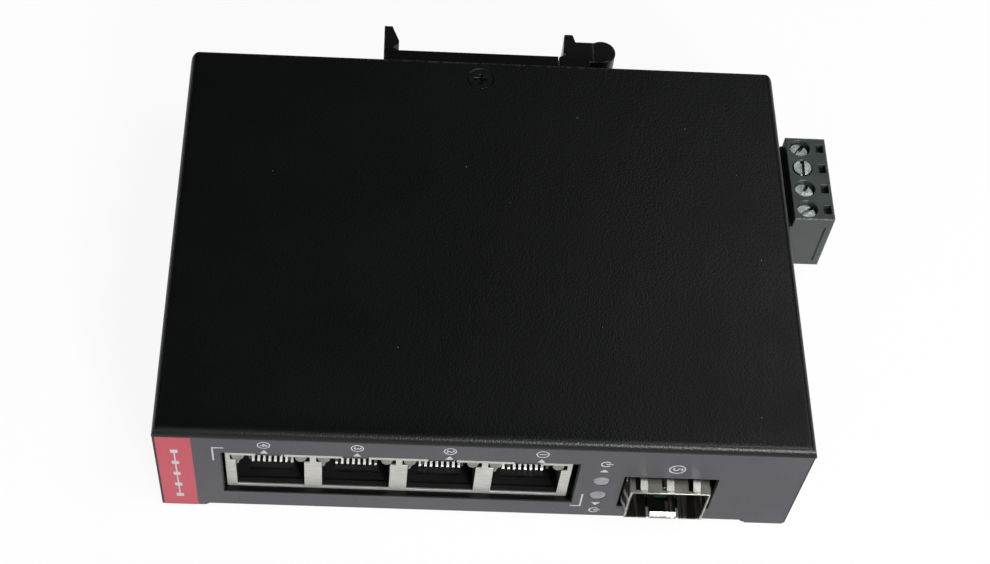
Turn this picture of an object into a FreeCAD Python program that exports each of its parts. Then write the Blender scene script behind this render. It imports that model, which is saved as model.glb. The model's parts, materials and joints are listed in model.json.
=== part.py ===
"""Four-port ethernet switch with a fibre cage, in a folded steel case that clips to a 35 mm rail.

The switch lies on one broad side, ports forward: +X runs along the row of ports, +Y to the
rail clip at the back and +Z out of the broad cover. Millimetres throughout. Places are
measured from the front left lower corner of the case, and each sub-part's Placement then
moves it so that the origin is the middle of the case's lower side.
"""
import FreeCAD, Part
import Sketcher
import math
import os
import re

V = FreeCAD.Vector
DOC = FreeCAD.newDocument("rail_switch")

# Driving dimensions: name, value in millimetres (or a count or an angle), meaning
SIZES = [
    ("case_length", 115.0, "along the row of ports"),
    ("case_depth", 85.0, "front panel to back wall"),
    ("head_room", 8.4, "port block's top to the case's broad side"),
    ("wall", 1.0, "steel sheet of the case"),
    ("cover_bend", 1.7, "outside radius of the cover's bends"),
    ("floor_bend", 1.5, "outside radius of the chassis's bends"),
    ("corner_round", 1.5, "plan radius of the cover's back corners"),
    ("fold_gap", 0.2, "clearance between cover and chassis"),
    ("lip_drop", 1.8, "how far the cover folds down over the front"),
    ("lip_proud", 0.3, "how far that fold stands before the panel"),
    ("lip_seam", 0.6, "open seam between fold and panel"),
    ("tab_wide", 8.0, "unbent corner tab of the front panel"),
    ("tab_slant", 0.6, "slant at the inner end of the tab"),
    ("tab_relief", 0.8, "slot that lets the floor bend beside a tab"),
    ("flange_deep", 10.0, "top flange of the back wall"),
    ("film_thick", 0.25, "printed film on the front panel"),
    ("film_margin", 0.45, "bare panel round the film"),
    ("film_clear", 0.15, "film held back from each cut-out"),
    ("cover_screw_x", 56.9, "cover screw from the left end"),
    ("cover_screw_inset", 4.0, "cover screw from the back edge"),
    ("cover_screw_head", 5.0, "countersunk head across"),
    ("cover_screw_long", 6.5, "whole screw"),
    ("screw_thick", 2.9, "shank of the case and board screws"),
    ("screw_fit", 0.05, "radial clearance of a screw in its thread"),
    ("board_thick", 1.6, "circuit board"),
    ("board_edge", 2.4, "board held back from the end walls"),
    ("board_front", 1.7, "board's front edge from the panel's face"),
    ("board_deep", 81.0, "board, front to back"),
    ("board_round", 1.0, "board corners"),
    ("standoff_tall", 3.0, "post under the board"),
    ("standoff_wide", 5.0, "post across its flats"),
    ("post_inset", 3.9, "middle of a post from the board's edges"),
    ("port_count", 4, "copper ports"),
    ("port_pitch", 15.24, "port to port"),
    ("jack_left", 12.1, "port block from the left end"),
    ("jack_end", 7.89, "block's end to the middle of the nearest port"),
    ("jack_tall", 13.5, "port block above the board"),
    ("jack_deep", 21.5, "port block behind its face"),
    ("jack_recess", 1.1, "port block's face behind the panel's face"),
    ("shield_wall", 0.3, "shield sheet"),
    ("jack_cut_left", 0.4, "panel cut-out past the block's left end"),
    ("jack_cut_right", 0.9, "panel cut-out past its right end"),
    ("jack_cut_above", 1.3, "panel cut-out above the block"),
    ("jack_cut_below", 0.4, "panel cut-out's sill over the block's foot"),
    ("port_wide", 12.1, "plug opening"),
    ("port_sill", 1.0, "shield strip under the opening"),
    ("port_tall", 8.9, "plug opening up to the lamp windows"),
    ("lamp_web", 1.14, "shield left between the lamp windows of two ports"),
    ("lamp_window_tall", 2.4, "lamp windows"),
    ("key_wide", 5.0, "latch notch through the shield's top edge"),
    ("key_step_wide", 6.4, "wider foot of the latch keyway"),
    ("key_step_tall", 1.4, "height of that foot"),
    ("notch_deep", 1.2, "latch notch in the shield's top"),
    ("cavity_deep", 13.6, "plug opening behind the block's face"),
    ("cavity_lip", 0.3, "front lip of the cavity's floor"),
    ("cavity_lip_deep", 1.4, "that lip, front to back"),
    ("comb_wide", 8.4, "contact trough in the cavity's floor"),
    ("comb_drop", 0.5, "trough below the cavity's floor"),
    ("lamp_wide", 2.8, "port lamp"),
    ("lamp_tall", 2.6, "port lamp"),
    ("lamp_in", 0.1, "port lamp from its window's outer edge"),
    ("lamp_clear", 0.4, "port lamp to the inner side of its seat"),
    ("lamp_deep", 7.0, "port lamp, front to back"),
    ("lamp_round", 0.6, "lower corners of a port lamp"),
    ("contact_count", 8, "contacts in each port"),
    ("contact_pitch", 1.016, "contact to contact"),
    ("contact_wide", 0.45, "contact strip"),
    ("contact_thick", 0.3, "contact strip"),
    ("contact_front", 4.3, "front bend of a contact behind the block's face"),
    ("contact_tip_deep", 11.8, "free end of a contact behind the block's face"),
    ("contact_tip_rise", 4.1, "free end above the trough"),
    ("cage_gap", 10.4, "port block to the fibre cage"),
    ("cage_wide", 14.2, "fibre cage"),
    ("cage_tall", 9.8, "fibre cage above the board"),
    ("cage_proud", 3.0, "cage before the panel's face"),
    ("cage_deep", 48.0, "fibre cage, front to back"),
    ("cage_wall", 0.4, "cage sheet"),
    ("cage_cut_left", 0.95, "panel cut-out past the cage's left side"),
    ("cage_cut_right", 1.4, "panel cut-out past its right side"),
    ("cage_cut_above", 0.95, "panel cut-out above the cage"),
    ("cage_cut_below", 0.35, "panel cut-out below the cage"),
    ("cage_floor_deep", 31.0, "floor sheet of the cage"),
    ("finger_wide", 1.35, "spring finger"),
    ("finger_long", 4.8, "spring finger"),
    ("finger_rise", 0.55, "how far a finger bows out"),
    ("finger_thick", 0.15, "spring finger"),
    ("finger_front", 0.45, "finger's foot behind the cage's rim"),
    ("finger_pitch", 4.7, "finger to finger on the top"),
    ("side_finger_pitch", 3.6, "finger to finger on a side"),
    ("window_wide", 2.1, "window behind a finger"),
    ("window_lap", 0.4, "finger's foot on the sheet at each end"),
    ("latch_tongue_wide", 4.9, "latch tongue in the cage's floor"),
    ("latch_tongue_deep", 9.0, "latch tongue"),
    ("tongue_slot", 0.5, "slot beside the tongue"),
    ("tongue_lift", 0.7, "raised front edge of the tongue"),
    ("tongue_lip_deep", 1.0, "that edge, front to back"),
    ("latch_hole", 2.6, "square hole for the module's latch"),
    ("link_wide", 11.0, "module connector in the cage"),
    ("link_tall", 6.0, "module connector"),
    ("link_deep", 10.0, "module connector"),
    ("link_back", 3.6, "module connector before the cage's back wall"),
    ("link_slot_tall", 1.4, "slot for the module's board edge"),
    ("link_slot_wide", 9.4, "slot for the module's board edge"),
    ("link_slot_rise", 3.6, "slot above the board"),
    ("status_gap", 5.4, "port block to the middle of the status lamps"),
    ("status_low", 9.05, "lower status lamp from the case's lower side"),
    ("status_pitch", 5.4, "lamp to lamp"),
    ("status_wide", 2.6, "status lamp across"),
    ("status_clear", 0.1, "clearance round a status lamp"),
    ("status_long", 7.5, "status lamp from face to foot"),
    ("status_round", 0.3, "eased rim of a status lamp"),
    ("status_proud", 0.1, "status lamp before the panel"),
    ("holder_wide", 4.6, "status lamp holder"),
    ("holder_deep", 6.5, "status lamp holder"),
    ("holder_front", 2.6, "holder behind the panel's face"),
    ("chip_wide", 14.0, "switch chip"),
    ("chip_tall", 1.4, "switch chip"),
    ("chip_x", 59.0, "switch chip's middle from the left end"),
    ("chip_y", 45.0, "switch chip's middle from the front"),
    ("chip_corner", 0.9, "cut corner that marks the chip's first pin"),
    ("magnet_long", 17.0, "isolation transformer"),
    ("magnet_deep", 9.4, "isolation transformer"),
    ("magnet_tall", 5.9, "isolation transformer"),
    ("magnet_x", 27.6, "first transformer's middle from the left end"),
    ("magnet_y", 30.0, "transformers' middle from the front"),
    ("magnet_pitch", 30.5, "transformer to transformer"),
    ("coil_wide", 10.0, "power inductor"),
    ("coil_tall", 5.0, "power inductor"),
    ("coil_corner", 2.0, "clipped corners of the power inductor"),
    ("coil_x", 88.0, "power inductor's middle from the left end"),
    ("coil_y", 63.0, "power inductor's middle from the front"),
    ("can_wide", 8.0, "capacitor can"),
    ("can_tall", 11.5, "capacitor can"),
    ("can_x", 97.5, "capacitors from the left end"),
    ("can_y", 52.5, "first capacitor from the front"),
    ("can_pitch", 10.5, "capacitor to capacitor"),
    ("crystal_long", 11.0, "crystal can"),
    ("crystal_wide", 4.6, "crystal can"),
    ("crystal_tall", 3.6, "crystal can"),
    ("crystal_corner", 1.4, "clipped corners of the crystal can"),
    ("crystal_x", 40.0, "crystal's middle from the left end"),
    ("crystal_y", 47.0, "crystal's middle from the front"),
    ("drop_wide", 9.0, "voltage regulator"),
    ("drop_tall", 4.3, "voltage regulator"),
    ("drop_tab", 1.3, "regulator's metal tab"),
    ("drop_x", 75.0, "regulator's middle from the left end"),
    ("drop_y", 62.0, "regulator's middle from the front"),
    ("fuse_long", 7.4, "fuse"),
    ("fuse_wide", 3.0, "fuse"),
    ("fuse_x", 86.0, "fuse's middle from the left end"),
    ("fuse_y", 76.0, "fuse's middle from the front"),
    ("fuse_cap", 1.8, "end cap of the fuse"),
    ("fuse_step", 0.25, "fuse's middle within its end caps"),
    ("pole_count", 4, "wire poles"),
    ("pole_pitch", 5.0, "pole to pole"),
    ("pole_middle_y", 65.9, "middle of the poles from the front"),
    ("plug_wide", 20.0, "plug along the end wall"),
    ("plug_low", 4.1, "plug's underside"),
    ("plug_top", 19.3, "plug's top"),
    ("plug_near", 117.9, "plug's shoulder from the left end"),
    ("plug_far", 126.3, "wire side of the plug from the left end"),
    ("plug_step", 0.45, "upper part of the plug set back"),
    ("plug_step_height", 16.6, "where that step lies"),
    ("plug_nose_long", 7.9, "plug's nose in the header"),
    ("plug_nose_wide", 18.6, "plug's nose"),
    ("plug_nose_tall", 7.8, "plug's nose"),
    ("plug_slide_gap", 0.3, "nose to header"),
    ("pole_level", 10.3, "height of the header's pins"),
    ("pin_thick", 1.0, "header pin"),
    ("header_long", 12.3, "header along the pins"),
    ("header_back", 2.0, "header's back wall"),
    ("header_wall", 1.0, "header's other walls"),
    ("header_gap", 0.4, "header's rim to the plug's shoulder"),
    ("pin_reach", 8.3, "pin in front of the header's back wall"),
    ("pin_tail", 1.6, "pin's bend behind the header"),
    ("opening_gap", 0.4, "end wall's opening round the header"),
    ("sill_gap", 0.3, "sill under the header"),
    ("chamber_half", 2.2, "half width of the clamp chamber along the plug"),
    ("chamber_wide", 4.1, "clamp chamber across"),
    ("chamber_floor", 0.7, "plug's floor under the chamber"),
    ("chamber_tall", 11.0, "clamp chamber"),
    ("entry_tall", 9.0, "wire entry"),
    ("screw_axis_x", 121.1, "clamp screws from the left end"),
    ("well_wide", 3.9, "screw well in the plug's top"),
    ("well_web", 0.5, "web that the screw's head sits on"),
    ("clamp_head", 3.6, "clamp screw's head"),
    ("clamp_head_tall", 2.0, "clamp screw's head"),
    ("head_slot_wide", 0.7, "driver slot"),
    ("head_slot_deep", 0.9, "driver slot"),
    ("screw_raised", 1.1, "how far one screw is backed out"),
    ("clamp_long", 4.0, "wire clamp along the wire"),
    ("clamp_wide", 3.6, "wire clamp across"),
    ("clamp_floor", 0.9, "lower bar of the clamp"),
    ("clamp_window", 5.1, "wire window of the clamp"),
    ("clamp_side", 0.25, "side walls of the clamp"),
    ("clamp_block", 2.5, "threaded top of the clamp"),
    ("clamp_drop", 0.15, "open clamp above the chamber's floor"),
    ("bar_thick", 0.8, "contact bar"),
    ("bar_wide", 2.4, "contact bar"),
    ("bar_reach", 2.8, "contact bar past the screw's axis"),
    ("socket_wide", 2.8, "contact socket"),
    ("socket_tall", 3.0, "contact socket"),
    ("socket_long", 7.4, "contact socket"),
    ("socket_hole", 1.2, "hole for the header's pin"),
    ("socket_gap", 0.05, "socket in its channel"),
    ("probe_wide", 1.4, "test slot beside each screw"),
    ("probe_long", 2.0, "test slot beside each screw"),
    ("probe_deep", 1.6, "test slot beside each screw"),
    ("probe_in", 0.6, "test slot from the wire side"),
    ("groove_in", 1.3, "end groove from the wire side"),
    ("groove_wide", 0.35, "end groove"),
    ("groove_deep", 0.3, "end groove"),
    ("groove_low", 1.6, "end groove above the plug's underside"),
    ("rail_wide", 35.0, "mounting rail"),
    ("rail_fit", 0.05, "rail to the latch's notch"),
    ("clip_wide", 20.0, "clip along the rail"),
    ("clip_left", 37.8, "clip's hook end from the left end of the case"),
    ("clip_thick", 5.9, "clip's plate behind the case"),
    ("clip_end_x", 72.9, "end of the clip's plate"),
    ("foot_end_x", 80.0, "end of the clip's foot under the latch"),
    ("foot_thick", 2.3, "that foot"),
    ("hook_tip", 1.6, "hook's tip along the case"),
    ("hook_nose", 3.0, "hook's nose along the case"),
    ("hook_root", 1.75, "depth of the hook's throat"),
    ("hook_rise", 6.3, "hook above the plate"),
    ("hook_nose_rise", 2.5, "hook's slant ends above the plate"),
    ("hook_lip_rise", 1.9, "hook's lip above the plate"),
    ("hook_throat_rise", 0.7, "throat above the plate"),
    ("channel_left", 50.0, "left end of the latch channel"),
    ("channel_wide", 9.0, "latch channel"),
    ("channel_low", 2.4, "latch channel from the case"),
    ("channel_tall", 2.4, "latch channel"),
    ("latch_fit", 0.1, "latch tongue in its channel, above and below"),
    ("latch_side_fit", 0.3, "latch tongue in its channel, each side"),
    ("latch_gap", 0.15, "latch to the plate's end"),
    ("latch_lip", 0.65, "latch's lip over the rail"),
    ("latch_lip_rise", 1.4, "latch's lip above the plate"),
    ("latch_tip_rise", 6.0, "latch's tip above the plate"),
    ("latch_tip_wide", 1.7, "latch's tip along the case"),
    ("latch_arm_rise", 4.1, "latch's arm above the plate"),
    ("latch_arm_under", 1.15, "arm's underside below the plate's face"),
    ("pull_x", 81.7, "pull tab's middle from the left end"),
    ("pull_round", 2.85, "pull tab's radius"),
    ("tongue_left", 52.0, "left end of the latch's tongue"),
    ("tongue_bar", 2.5, "cross bar of the tongue"),
    ("tongue_window_half", 2.5, "half width of the tongue's window"),
    ("post_left", 68.5, "spring post"),
    ("post_long", 2.0, "spring post"),
    ("post_half", 2.0, "half width of the spring post"),
    ("spring_wide", 2.1, "latch spring across"),
    ("spring_wire", 0.4, "latch spring's wire"),
    ("spring_turns", 7, "latch spring"),
    ("spring_facets", 10, "straight lengths that make one turn of it"),
    ("spring_end_gap", 0.05, "spring to its seats"),
    ("clip_screw_left", 45.0, "clip's lower screw from the left end"),
    ("clip_screw_right", 66.0, "clip's upper screw from the left end"),
    ("clip_screw_half", 7.0, "clip's screws from its middle"),
    ("clip_screw_head", 4.2, "clip screw's head"),
    ("clip_screw_sink", 2.7, "depth of the head's recess"),
    ("clip_screw_tall", 1.5, "clip screw's head"),
    ("clip_screw_thick", 2.4, "clip screw's shank"),
    ("clip_screw_past", 0.9, "clip screw past the back wall"),
]


def fill_sheet():
    """Put the driving dimensions in the sheet, one row each."""
    sheet = DOC.addObject("Spreadsheet::Sheet", "sizes")
    for row, (name, value, meaning) in enumerate(SIZES, 1):
        sheet.set("A%d" % row, name)
        sheet.set("B%d" % row, str(value))
        sheet.set("C%d" % row, meaning)
        sheet.setAlias("B%d" % row, name)
    DOC.recompute()
    return sheet


SHEET = fill_sheet()
NAMES = {name for name, value, meaning in SIZES}

# A size that follows from others, named in formulas as they are
WORKED = {"case_height": "(wall + standoff_tall + board_thick + jack_tall + head_room)"}

# Places that several sub-parts share, worked out from the sheet
BOARD_LOW = "(wall + standoff_tall)"
BOARD_TOP = "(wall + standoff_tall + board_thick)"
JACK_TOP = "(%s + jack_tall)" % BOARD_TOP
BOARD_RIGHT = "(case_length - board_edge)"
BOARD_BACK = "(board_front + board_deep)"
PANEL_TOP = "(case_height - lip_drop - lip_seam)"
FLANGE_TOP = "(case_height - wall - fold_gap)"
SCREW_Y = "(case_depth - cover_screw_inset)"
JACK_LEFT = "jack_left"
JACK_RIGHT = "(jack_left + 2 * jack_end + port_pitch * (port_count - 1))"
JACK_BACK = "(jack_recess + jack_deep)"
FIRST_PORT = "(jack_left + jack_end)"
LAMP_HALF = "(port_pitch / 2 - lamp_web / 2)"
SILL = "(%s + port_sill)" % BOARD_TOP
LAMP_LOW = "(%s + port_tall)" % SILL
LAMP_HIGH = "(%s + lamp_window_tall)" % LAMP_LOW
LENS_LOW = "(%s - lamp_tall)" % LAMP_HIGH
CAVITY_BACK = "(jack_recess + cavity_deep)"
TROUGH = "(%s - comb_drop)" % SILL
CAGE_LEFT = "(%s + cage_gap)" % JACK_RIGHT
CAGE_RIGHT = "(%s + cage_wide)" % CAGE_LEFT
CAGE_MIDDLE = "(%s + cage_wide / 2)" % CAGE_LEFT
STATUS_X = "(%s + status_gap)" % JACK_RIGHT
CAGE_TOP = "(%s + cage_tall)" % BOARD_TOP
CAGE_BACK = "(cage_deep - cage_proud)"
LINK_FRONT = "(%s - cage_wall - link_back - link_deep)" % CAGE_BACK
STATUS_HIGH = "(status_low + status_pitch)"
FIRST_POLE = "(pole_middle_y - pole_pitch * (pole_count - 1) / 2)"
LAST_POLE = "(pole_middle_y + pole_pitch * (pole_count - 1) / 2)"
HEADER_FAR = "(plug_near - header_gap)"
HEADER_NEAR = "(%s - header_long)" % HEADER_FAR
CAVITY_HALF = "(plug_nose_tall / 2 + plug_slide_gap)"
HEADER_TOP = "(pole_level + %s + header_wall)" % CAVITY_HALF
HEADER_HALF = "(plug_nose_wide / 2 + plug_slide_gap + header_wall)"
NOSE_NEAR = "(plug_near - plug_nose_long)"
CHAMBER_LOW = "(plug_low + chamber_floor)"
CHAMBER_TOP = "(%s + chamber_tall)" % CHAMBER_LOW
WEB_TOP = "(%s + well_web)" % CHAMBER_TOP
BAR_TOP = "(pole_level + bar_thick / 2)"
CLAMP_LOW = "(%s + clamp_drop)" % CHAMBER_LOW
PLATE = "(case_depth + clip_thick)"
THROAT_X = "(clip_left + hook_root)"
RAIL_END = "(%s + rail_wide + rail_fit)" % THROAT_X
CLIP_MIDDLE = "(case_height / 2)"
LATCH_LEFT = "(clip_end_x + latch_gap)"
TONGUE_LOW = "(case_depth + channel_low + latch_fit)"
TONGUE_HIGH = "(case_depth + channel_low + channel_tall - latch_fit)"
CLIP_SEAT = "(%s - clip_screw_sink)" % PLATE

PARTS = []


def formula(text):
    """Write a formula of plain names as the document's own expression."""
    text = re.sub(r"[a-z_]+", lambda word: WORKED.get(word.group(0), word.group(0)), text)
    return re.sub(r"[a-z_]+", lambda word: ("sizes." if word.group(0) in NAMES else "") + word.group(0), text)


def bind(item, field, text):
    item.setExpression(field, formula(text))


def place(item, at):
    """Bind an object's place to three formulas."""
    for axis, text in zip("xyz", at):
        bind(item, "Placement.Base." + axis, text)


def block(name, low, high):
    """A box between two corners, each given as three formulas."""
    item = DOC.addObject("Part::Box", name)
    for field, start, end in zip(("Length", "Width", "Height"), low, high):
        bind(item, field, "(%s) - (%s)" % (end, start))
    place(item, low)
    return item


TURNS = {"X": FreeCAD.Rotation(V(0, 1, 0), 90), "Y": FreeCAD.Rotation(V(1, 0, 0), -90), "Z": FreeCAD.Rotation()}


def rod(name, radius, length, at, axis="Z"):
    """A cylinder from a start point along an axis."""
    item = DOC.addObject("Part::Cylinder", name)
    bind(item, "Radius", radius)
    bind(item, "Height", length)
    item.Placement = FreeCAD.Placement(V(), TURNS[axis])
    place(item, at)
    return item


def cone(name, low_radius, high_radius, height, at):
    item = DOC.addObject("Part::Cone", name)
    bind(item, "Radius1", low_radius)
    bind(item, "Radius2", high_radius)
    bind(item, "Height", height)
    place(item, at)
    return item


def join(name, items):
    item = DOC.addObject("Part::MultiFuse", name)
    item.Shapes = items
    item.Refine = True
    return item


def cut(name, base, tools):
    """Take one tool or several away from a base."""
    item = DOC.addObject("Part::Cut", name)
    item.Base = base
    item.Tool = tools[0] if len(tools) == 1 else group(name + "_tools", tools)
    item.Refine = True
    return item


def common(name, first, second):
    item = DOC.addObject("Part::Common", name)
    item.Base = first
    item.Tool = second
    return item


def group(name, items):
    """Separate solids that make one node, or one tool."""
    item = DOC.addObject("Part::Compound", name)
    item.Links = items
    return item


def outline_sketch(body, name, plane, outline, offset):
    """A closed outline whose every corner is bound to two formulas."""
    sketch = body.newObject("Sketcher::SketchObject", name + "_sketch")
    support = [item for item in body.Origin.OriginFeatures if item.Role == plane + "_Plane"]
    sketch.AttachmentSupport = [(support[0], "")]
    sketch.MapMode = "FlatFace"
    bind(sketch, "AttachmentOffset.Base.z", offset)
    count = len(outline)
    rough = [V(math.cos(2 * math.pi * i / count), math.sin(2 * math.pi * i / count), 0) for i in range(count)]
    for i in range(count):
        sketch.addGeometry(Part.LineSegment(rough[i], rough[(i + 1) % count]))
    for i in range(count):
        sketch.addConstraint(Sketcher.Constraint("Coincident", i, 2, (i + 1) % count, 1))
    for i, corner in enumerate(outline):
        for kind, text, start in zip(("DistanceX", "DistanceY"), corner, rough[i]):
            index = sketch.addConstraint(Sketcher.Constraint(kind, -1, 1, i, 1, start))
            bind(sketch, "Constraints[%d]" % index, text)
    return sketch


def edges_through(shape, point, direction):
    """Names of the straight edges that lie on a line."""
    found = []
    for number, edge in enumerate(shape.Edges, 1):
        ends = [vertex.Point for vertex in edge.Vertexes]
        if len(ends) == 2 and all((end - point).cross(direction).Length < 1e-4 for end in ends):
            found.append("Edge%d" % number)
    return found


def prism(name, plane, outline, low, high, rounds=None, copies=()):
    """Pad an outline between two levels, round named corners, then repeat the whole."""
    body = DOC.addObject("PartDesign::Body", name + "_body")
    offset = "-(%s)" % high if plane == "XZ" else low
    sketch = outline_sketch(body, name, plane, outline, offset)
    tip = body.newObject("PartDesign::Pad", name + "_pad")
    tip.Profile = sketch
    bind(tip, "Length", "(%s) - (%s)" % (high, low))
    body.Tip = tip
    if rounds or copies:
        DOC.recompute()
    normal = sketch.Placement.Rotation.multVec(V(0, 0, 1))
    for radius, corners in (rounds or {}).items():
        edges = []
        for corner in corners:
            point = sketch.Placement.multVec(sketch.getPoint(corner, 1))
            edges += edges_through(tip.Shape, point, normal)
        fillet = body.newObject("PartDesign::Fillet", name + "_round")
        fillet.Base = (tip, edges)
        bind(fillet, "Radius", radius)
        tip = fillet
        body.Tip = tip
        DOC.recompute()
    for axis, step, number in copies:
        pattern = body.newObject("PartDesign::LinearPattern", name + "_row")
        pattern.TransformMode = "Whole shape"
        pattern.Direction = (sketch, [axis])
        pattern.Mode = "Spacing"
        bind(pattern, "Offset", step)
        bind(pattern, "Occurrences", number)
        body.Tip = pattern
    return body


def turned(name, outline, at, rotation=None):
    """A piece turned about its own vertical axis: the outline holds radius and height."""
    body = DOC.addObject("PartDesign::Body", name + "_body")
    sketch = outline_sketch(body, name, "XZ", outline, "0")
    spin = body.newObject("PartDesign::Revolution", name + "_turn")
    spin.Profile = sketch
    spin.ReferenceAxis = (sketch, ["V_Axis"])
    spin.Angle = 360
    body.Tip = spin
    body.Placement = FreeCAD.Placement(V(), rotation or FreeCAD.Rotation())
    place(body, at)
    return body


def keep(node, item):
    """Name a finished sub-part and move it from the case's corner to the part's frame."""
    item.Label = node
    place(item, ("-case_length / 2", "-case_depth / 2", "0"))
    PARTS.append((node, item))
    return item


def shifted(start, step, index):
    """A formula for one place in a row."""
    return "(%s + %s * %d)" % (start, step, index)


def around(middle, half):
    """Two formulas, either side of a middle."""
    return "(%s - (%s))" % (middle, half), "(%s + (%s))" % (middle, half)


# Case

def panel_cutters(name, front, back, clear):
    """Tools for the openings of the front panel, and of its film with more room."""
    jack = block(
        name + "_jack",
        ("%s - jack_cut_left - %s" % (JACK_LEFT, clear), front, "%s + jack_cut_below - %s" % (BOARD_TOP, clear)),
        ("%s + jack_cut_right + %s" % (JACK_RIGHT, clear), back, "%s + jack_cut_above + %s" % (JACK_TOP, clear)))
    cage = block(
        name + "_cage",
        ("%s - cage_cut_left - %s" % (CAGE_LEFT, clear), front, "%s - cage_cut_below - %s" % (BOARD_TOP, clear)),
        ("%s + cage_cut_right + %s" % (CAGE_RIGHT, clear), back, "%s + cage_cut_above + %s" % (CAGE_TOP, clear)))
    lamps = []
    for level, height in (("low", "status_low"), ("high", STATUS_HIGH)):
        lamps.append(rod(name + "_lamp_" + level, "status_wide / 2 + status_clear + %s" % clear,
                         "(%s) - (%s)" % (back, front), (STATUS_X, front, height), "Y"))
    return [jack, cage] + lamps


def make_chassis():
    """Front panel, lower side, back wall and its top flange, folded from one sheet."""
    profile = [
        ("0", PANEL_TOP), ("0", "0"), ("case_depth", "0"), ("case_depth", FLANGE_TOP),
        ("case_depth - flange_deep", FLANGE_TOP), ("case_depth - flange_deep", "%s - wall" % FLANGE_TOP),
        ("case_depth - wall", "%s - wall" % FLANGE_TOP), ("case_depth - wall", "wall"),
        ("wall", "wall"), ("wall", PANEL_TOP)]
    bends = {"floor_bend": (1, 2, 3), "floor_bend - wall": (6, 7, 8)}
    inset = "(wall + fold_gap)"
    sheet = prism("chassis_sheet", "YZ", profile, inset, "case_length - " + inset, bends)
    relief_deep = "(floor_bend + tab_relief)"
    corners = []
    for side, near, far in (("left", "0", "(tab_wide + tab_relief)"),
                            ("right", "(case_length - tab_wide - tab_relief)", "case_length")):
        corners.append(block("relief_" + side, (near, "-wall", "-wall"), (far, relief_deep, relief_deep)))
    slanted = "(tab_wide + tab_slant)"
    left_tab = prism("left_tab", "XZ", [
        ("0", "0"), ("tab_wide", "0"), (slanted, "tab_slant"), (slanted, PANEL_TOP), ("0", PANEL_TOP)],
        "0", "wall")
    right_tab = prism("right_tab", "XZ", [
        ("case_length", "0"), ("case_length", PANEL_TOP), ("case_length - " + slanted, PANEL_TOP),
        ("case_length - " + slanted, "tab_slant"), ("case_length - tab_wide", "0")], "0", "wall")
    header_low, header_high = around("pole_middle_y", HEADER_HALF)
    sill = block("terminal_sill",
                 ("case_length - 2 * wall - fold_gap", header_low, "wall / 2"),
                 ("case_length - wall - fold_gap", header_high, "%s - sill_gap" % BOARD_LOW))
    folded = join("chassis_folded", [cut("chassis_relieved", sheet, corners), left_tab, right_tab, sill])
    tools = panel_cutters("panel_cut", "-wall", "2 * wall", "0")
    tools.append(rod("flange_hole", "screw_thick / 2 + screw_fit", "3 * wall",
                     ("cover_screw_x", SCREW_Y, "%s - 2 * wall" % FLANGE_TOP)))
    for number, (across, level) in enumerate(clip_screw_places()):
        tools.append(rod("back_hole_%d" % number, "clip_screw_thick / 2 + screw_fit", "3 * wall",
                         (across, "case_depth - 2 * wall", level), "Y"))
    keep("chassis", cut("chassis_cut", folded, tools))


def make_cover():
    """Broad cover with both end walls and a front fold, from one sheet."""
    profile = [
        ("0", "0"), ("0", "case_height"), ("case_length", "case_height"), ("case_length", "0"),
        ("case_length - wall", "0"), ("case_length - wall", "case_height - wall"),
        ("wall", "case_height - wall"), ("wall", "0")]
    bends = {"cover_bend": (1, 2), "cover_bend - wall": (5, 6)}
    shell = prism("cover_sheet", "XZ", profile, "wall + fold_gap", "case_depth", bends)
    front = "-lip_proud"
    inner = "(wall - lip_proud)"
    lip = prism("cover_lip", "YZ", [
        (front, "case_height - lip_drop"), (front, "case_height"), ("cover_bend + wall", "case_height"),
        ("cover_bend + wall", "case_height - wall"), (inner, "case_height - wall"),
        (inner, "case_height - lip_drop")], "0", "case_length",
        {"cover_bend": (1,), "cover_bend - wall": (4,)})
    ends = prism("end_envelope", "XZ", [
        ("0", "0"), ("0", "case_height"), ("case_length", "case_height"), ("case_length", "0")],
        "-2 * wall", "case_depth", {"cover_bend": (1, 2)})
    plan = prism("plan_envelope", "XY", [
        ("0", "-2 * wall"), ("case_length", "-2 * wall"), ("case_length", "case_depth"), ("0", "case_depth")],
        "0", "case_height", {"corner_round": (2, 3)})
    folded = common("cover_plan", common("cover_ends", join("cover_joined", [shell, lip]), ends), plan)
    header_low, header_high = around("pole_middle_y", HEADER_HALF + " + opening_gap")
    opening = block("terminal_opening", ("case_length - 2 * wall", header_low, "-wall"),
                    ("case_length + wall", header_high, "%s + opening_gap" % HEADER_TOP))
    sink = cone("screw_sink", "screw_thick / 2 + fold_gap",
                "cover_screw_head / 2 + 2 * fold_gap", "wall + fold_gap",
                ("cover_screw_x", SCREW_Y, "case_height - wall"))
    keep("cover", cut("cover_cut", folded, [opening, sink]))


def cross_slots(name, reach, width, deep, top, at):
    """Two crossed slots that make a driver recess."""
    low = "%s - (%s)" % (top, deep)
    high = "%s + (%s)" % (top, deep)
    slots = []
    for letter, half_x, half_y in (("a", reach, width + " / 2"), ("b", width + " / 2", reach)):
        x_low, x_high = around(at[0], half_x)
        y_low, y_high = around(at[1], half_y)
        slots.append(block(name + "_slot_" + letter, (x_low, y_low, low), (x_high, y_high, high)))
    return slots


def make_cover_screw():
    """Countersunk screw through the cover into the back wall's flange."""
    top = "(case_height - fold_gap / 2)"
    shank = "screw_thick / 2"
    sink = "(cover_screw_head - screw_thick) / 2"
    screw = turned("cover_screw_turned", [
        ("0", "0"), (shank, "0"), (shank, "cover_screw_long - " + sink),
        ("cover_screw_head / 2", "cover_screw_long"), ("0", "cover_screw_long")],
        ("cover_screw_x", SCREW_Y, "%s - cover_screw_long" % top))
    slots = cross_slots("cover_screw", "cover_screw_head / 4", "head_slot_wide", "wall", top,
                        ("cover_screw_x", SCREW_Y))
    keep("cover_screw", cut("cover_screw_cut", screw, slots))


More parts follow.
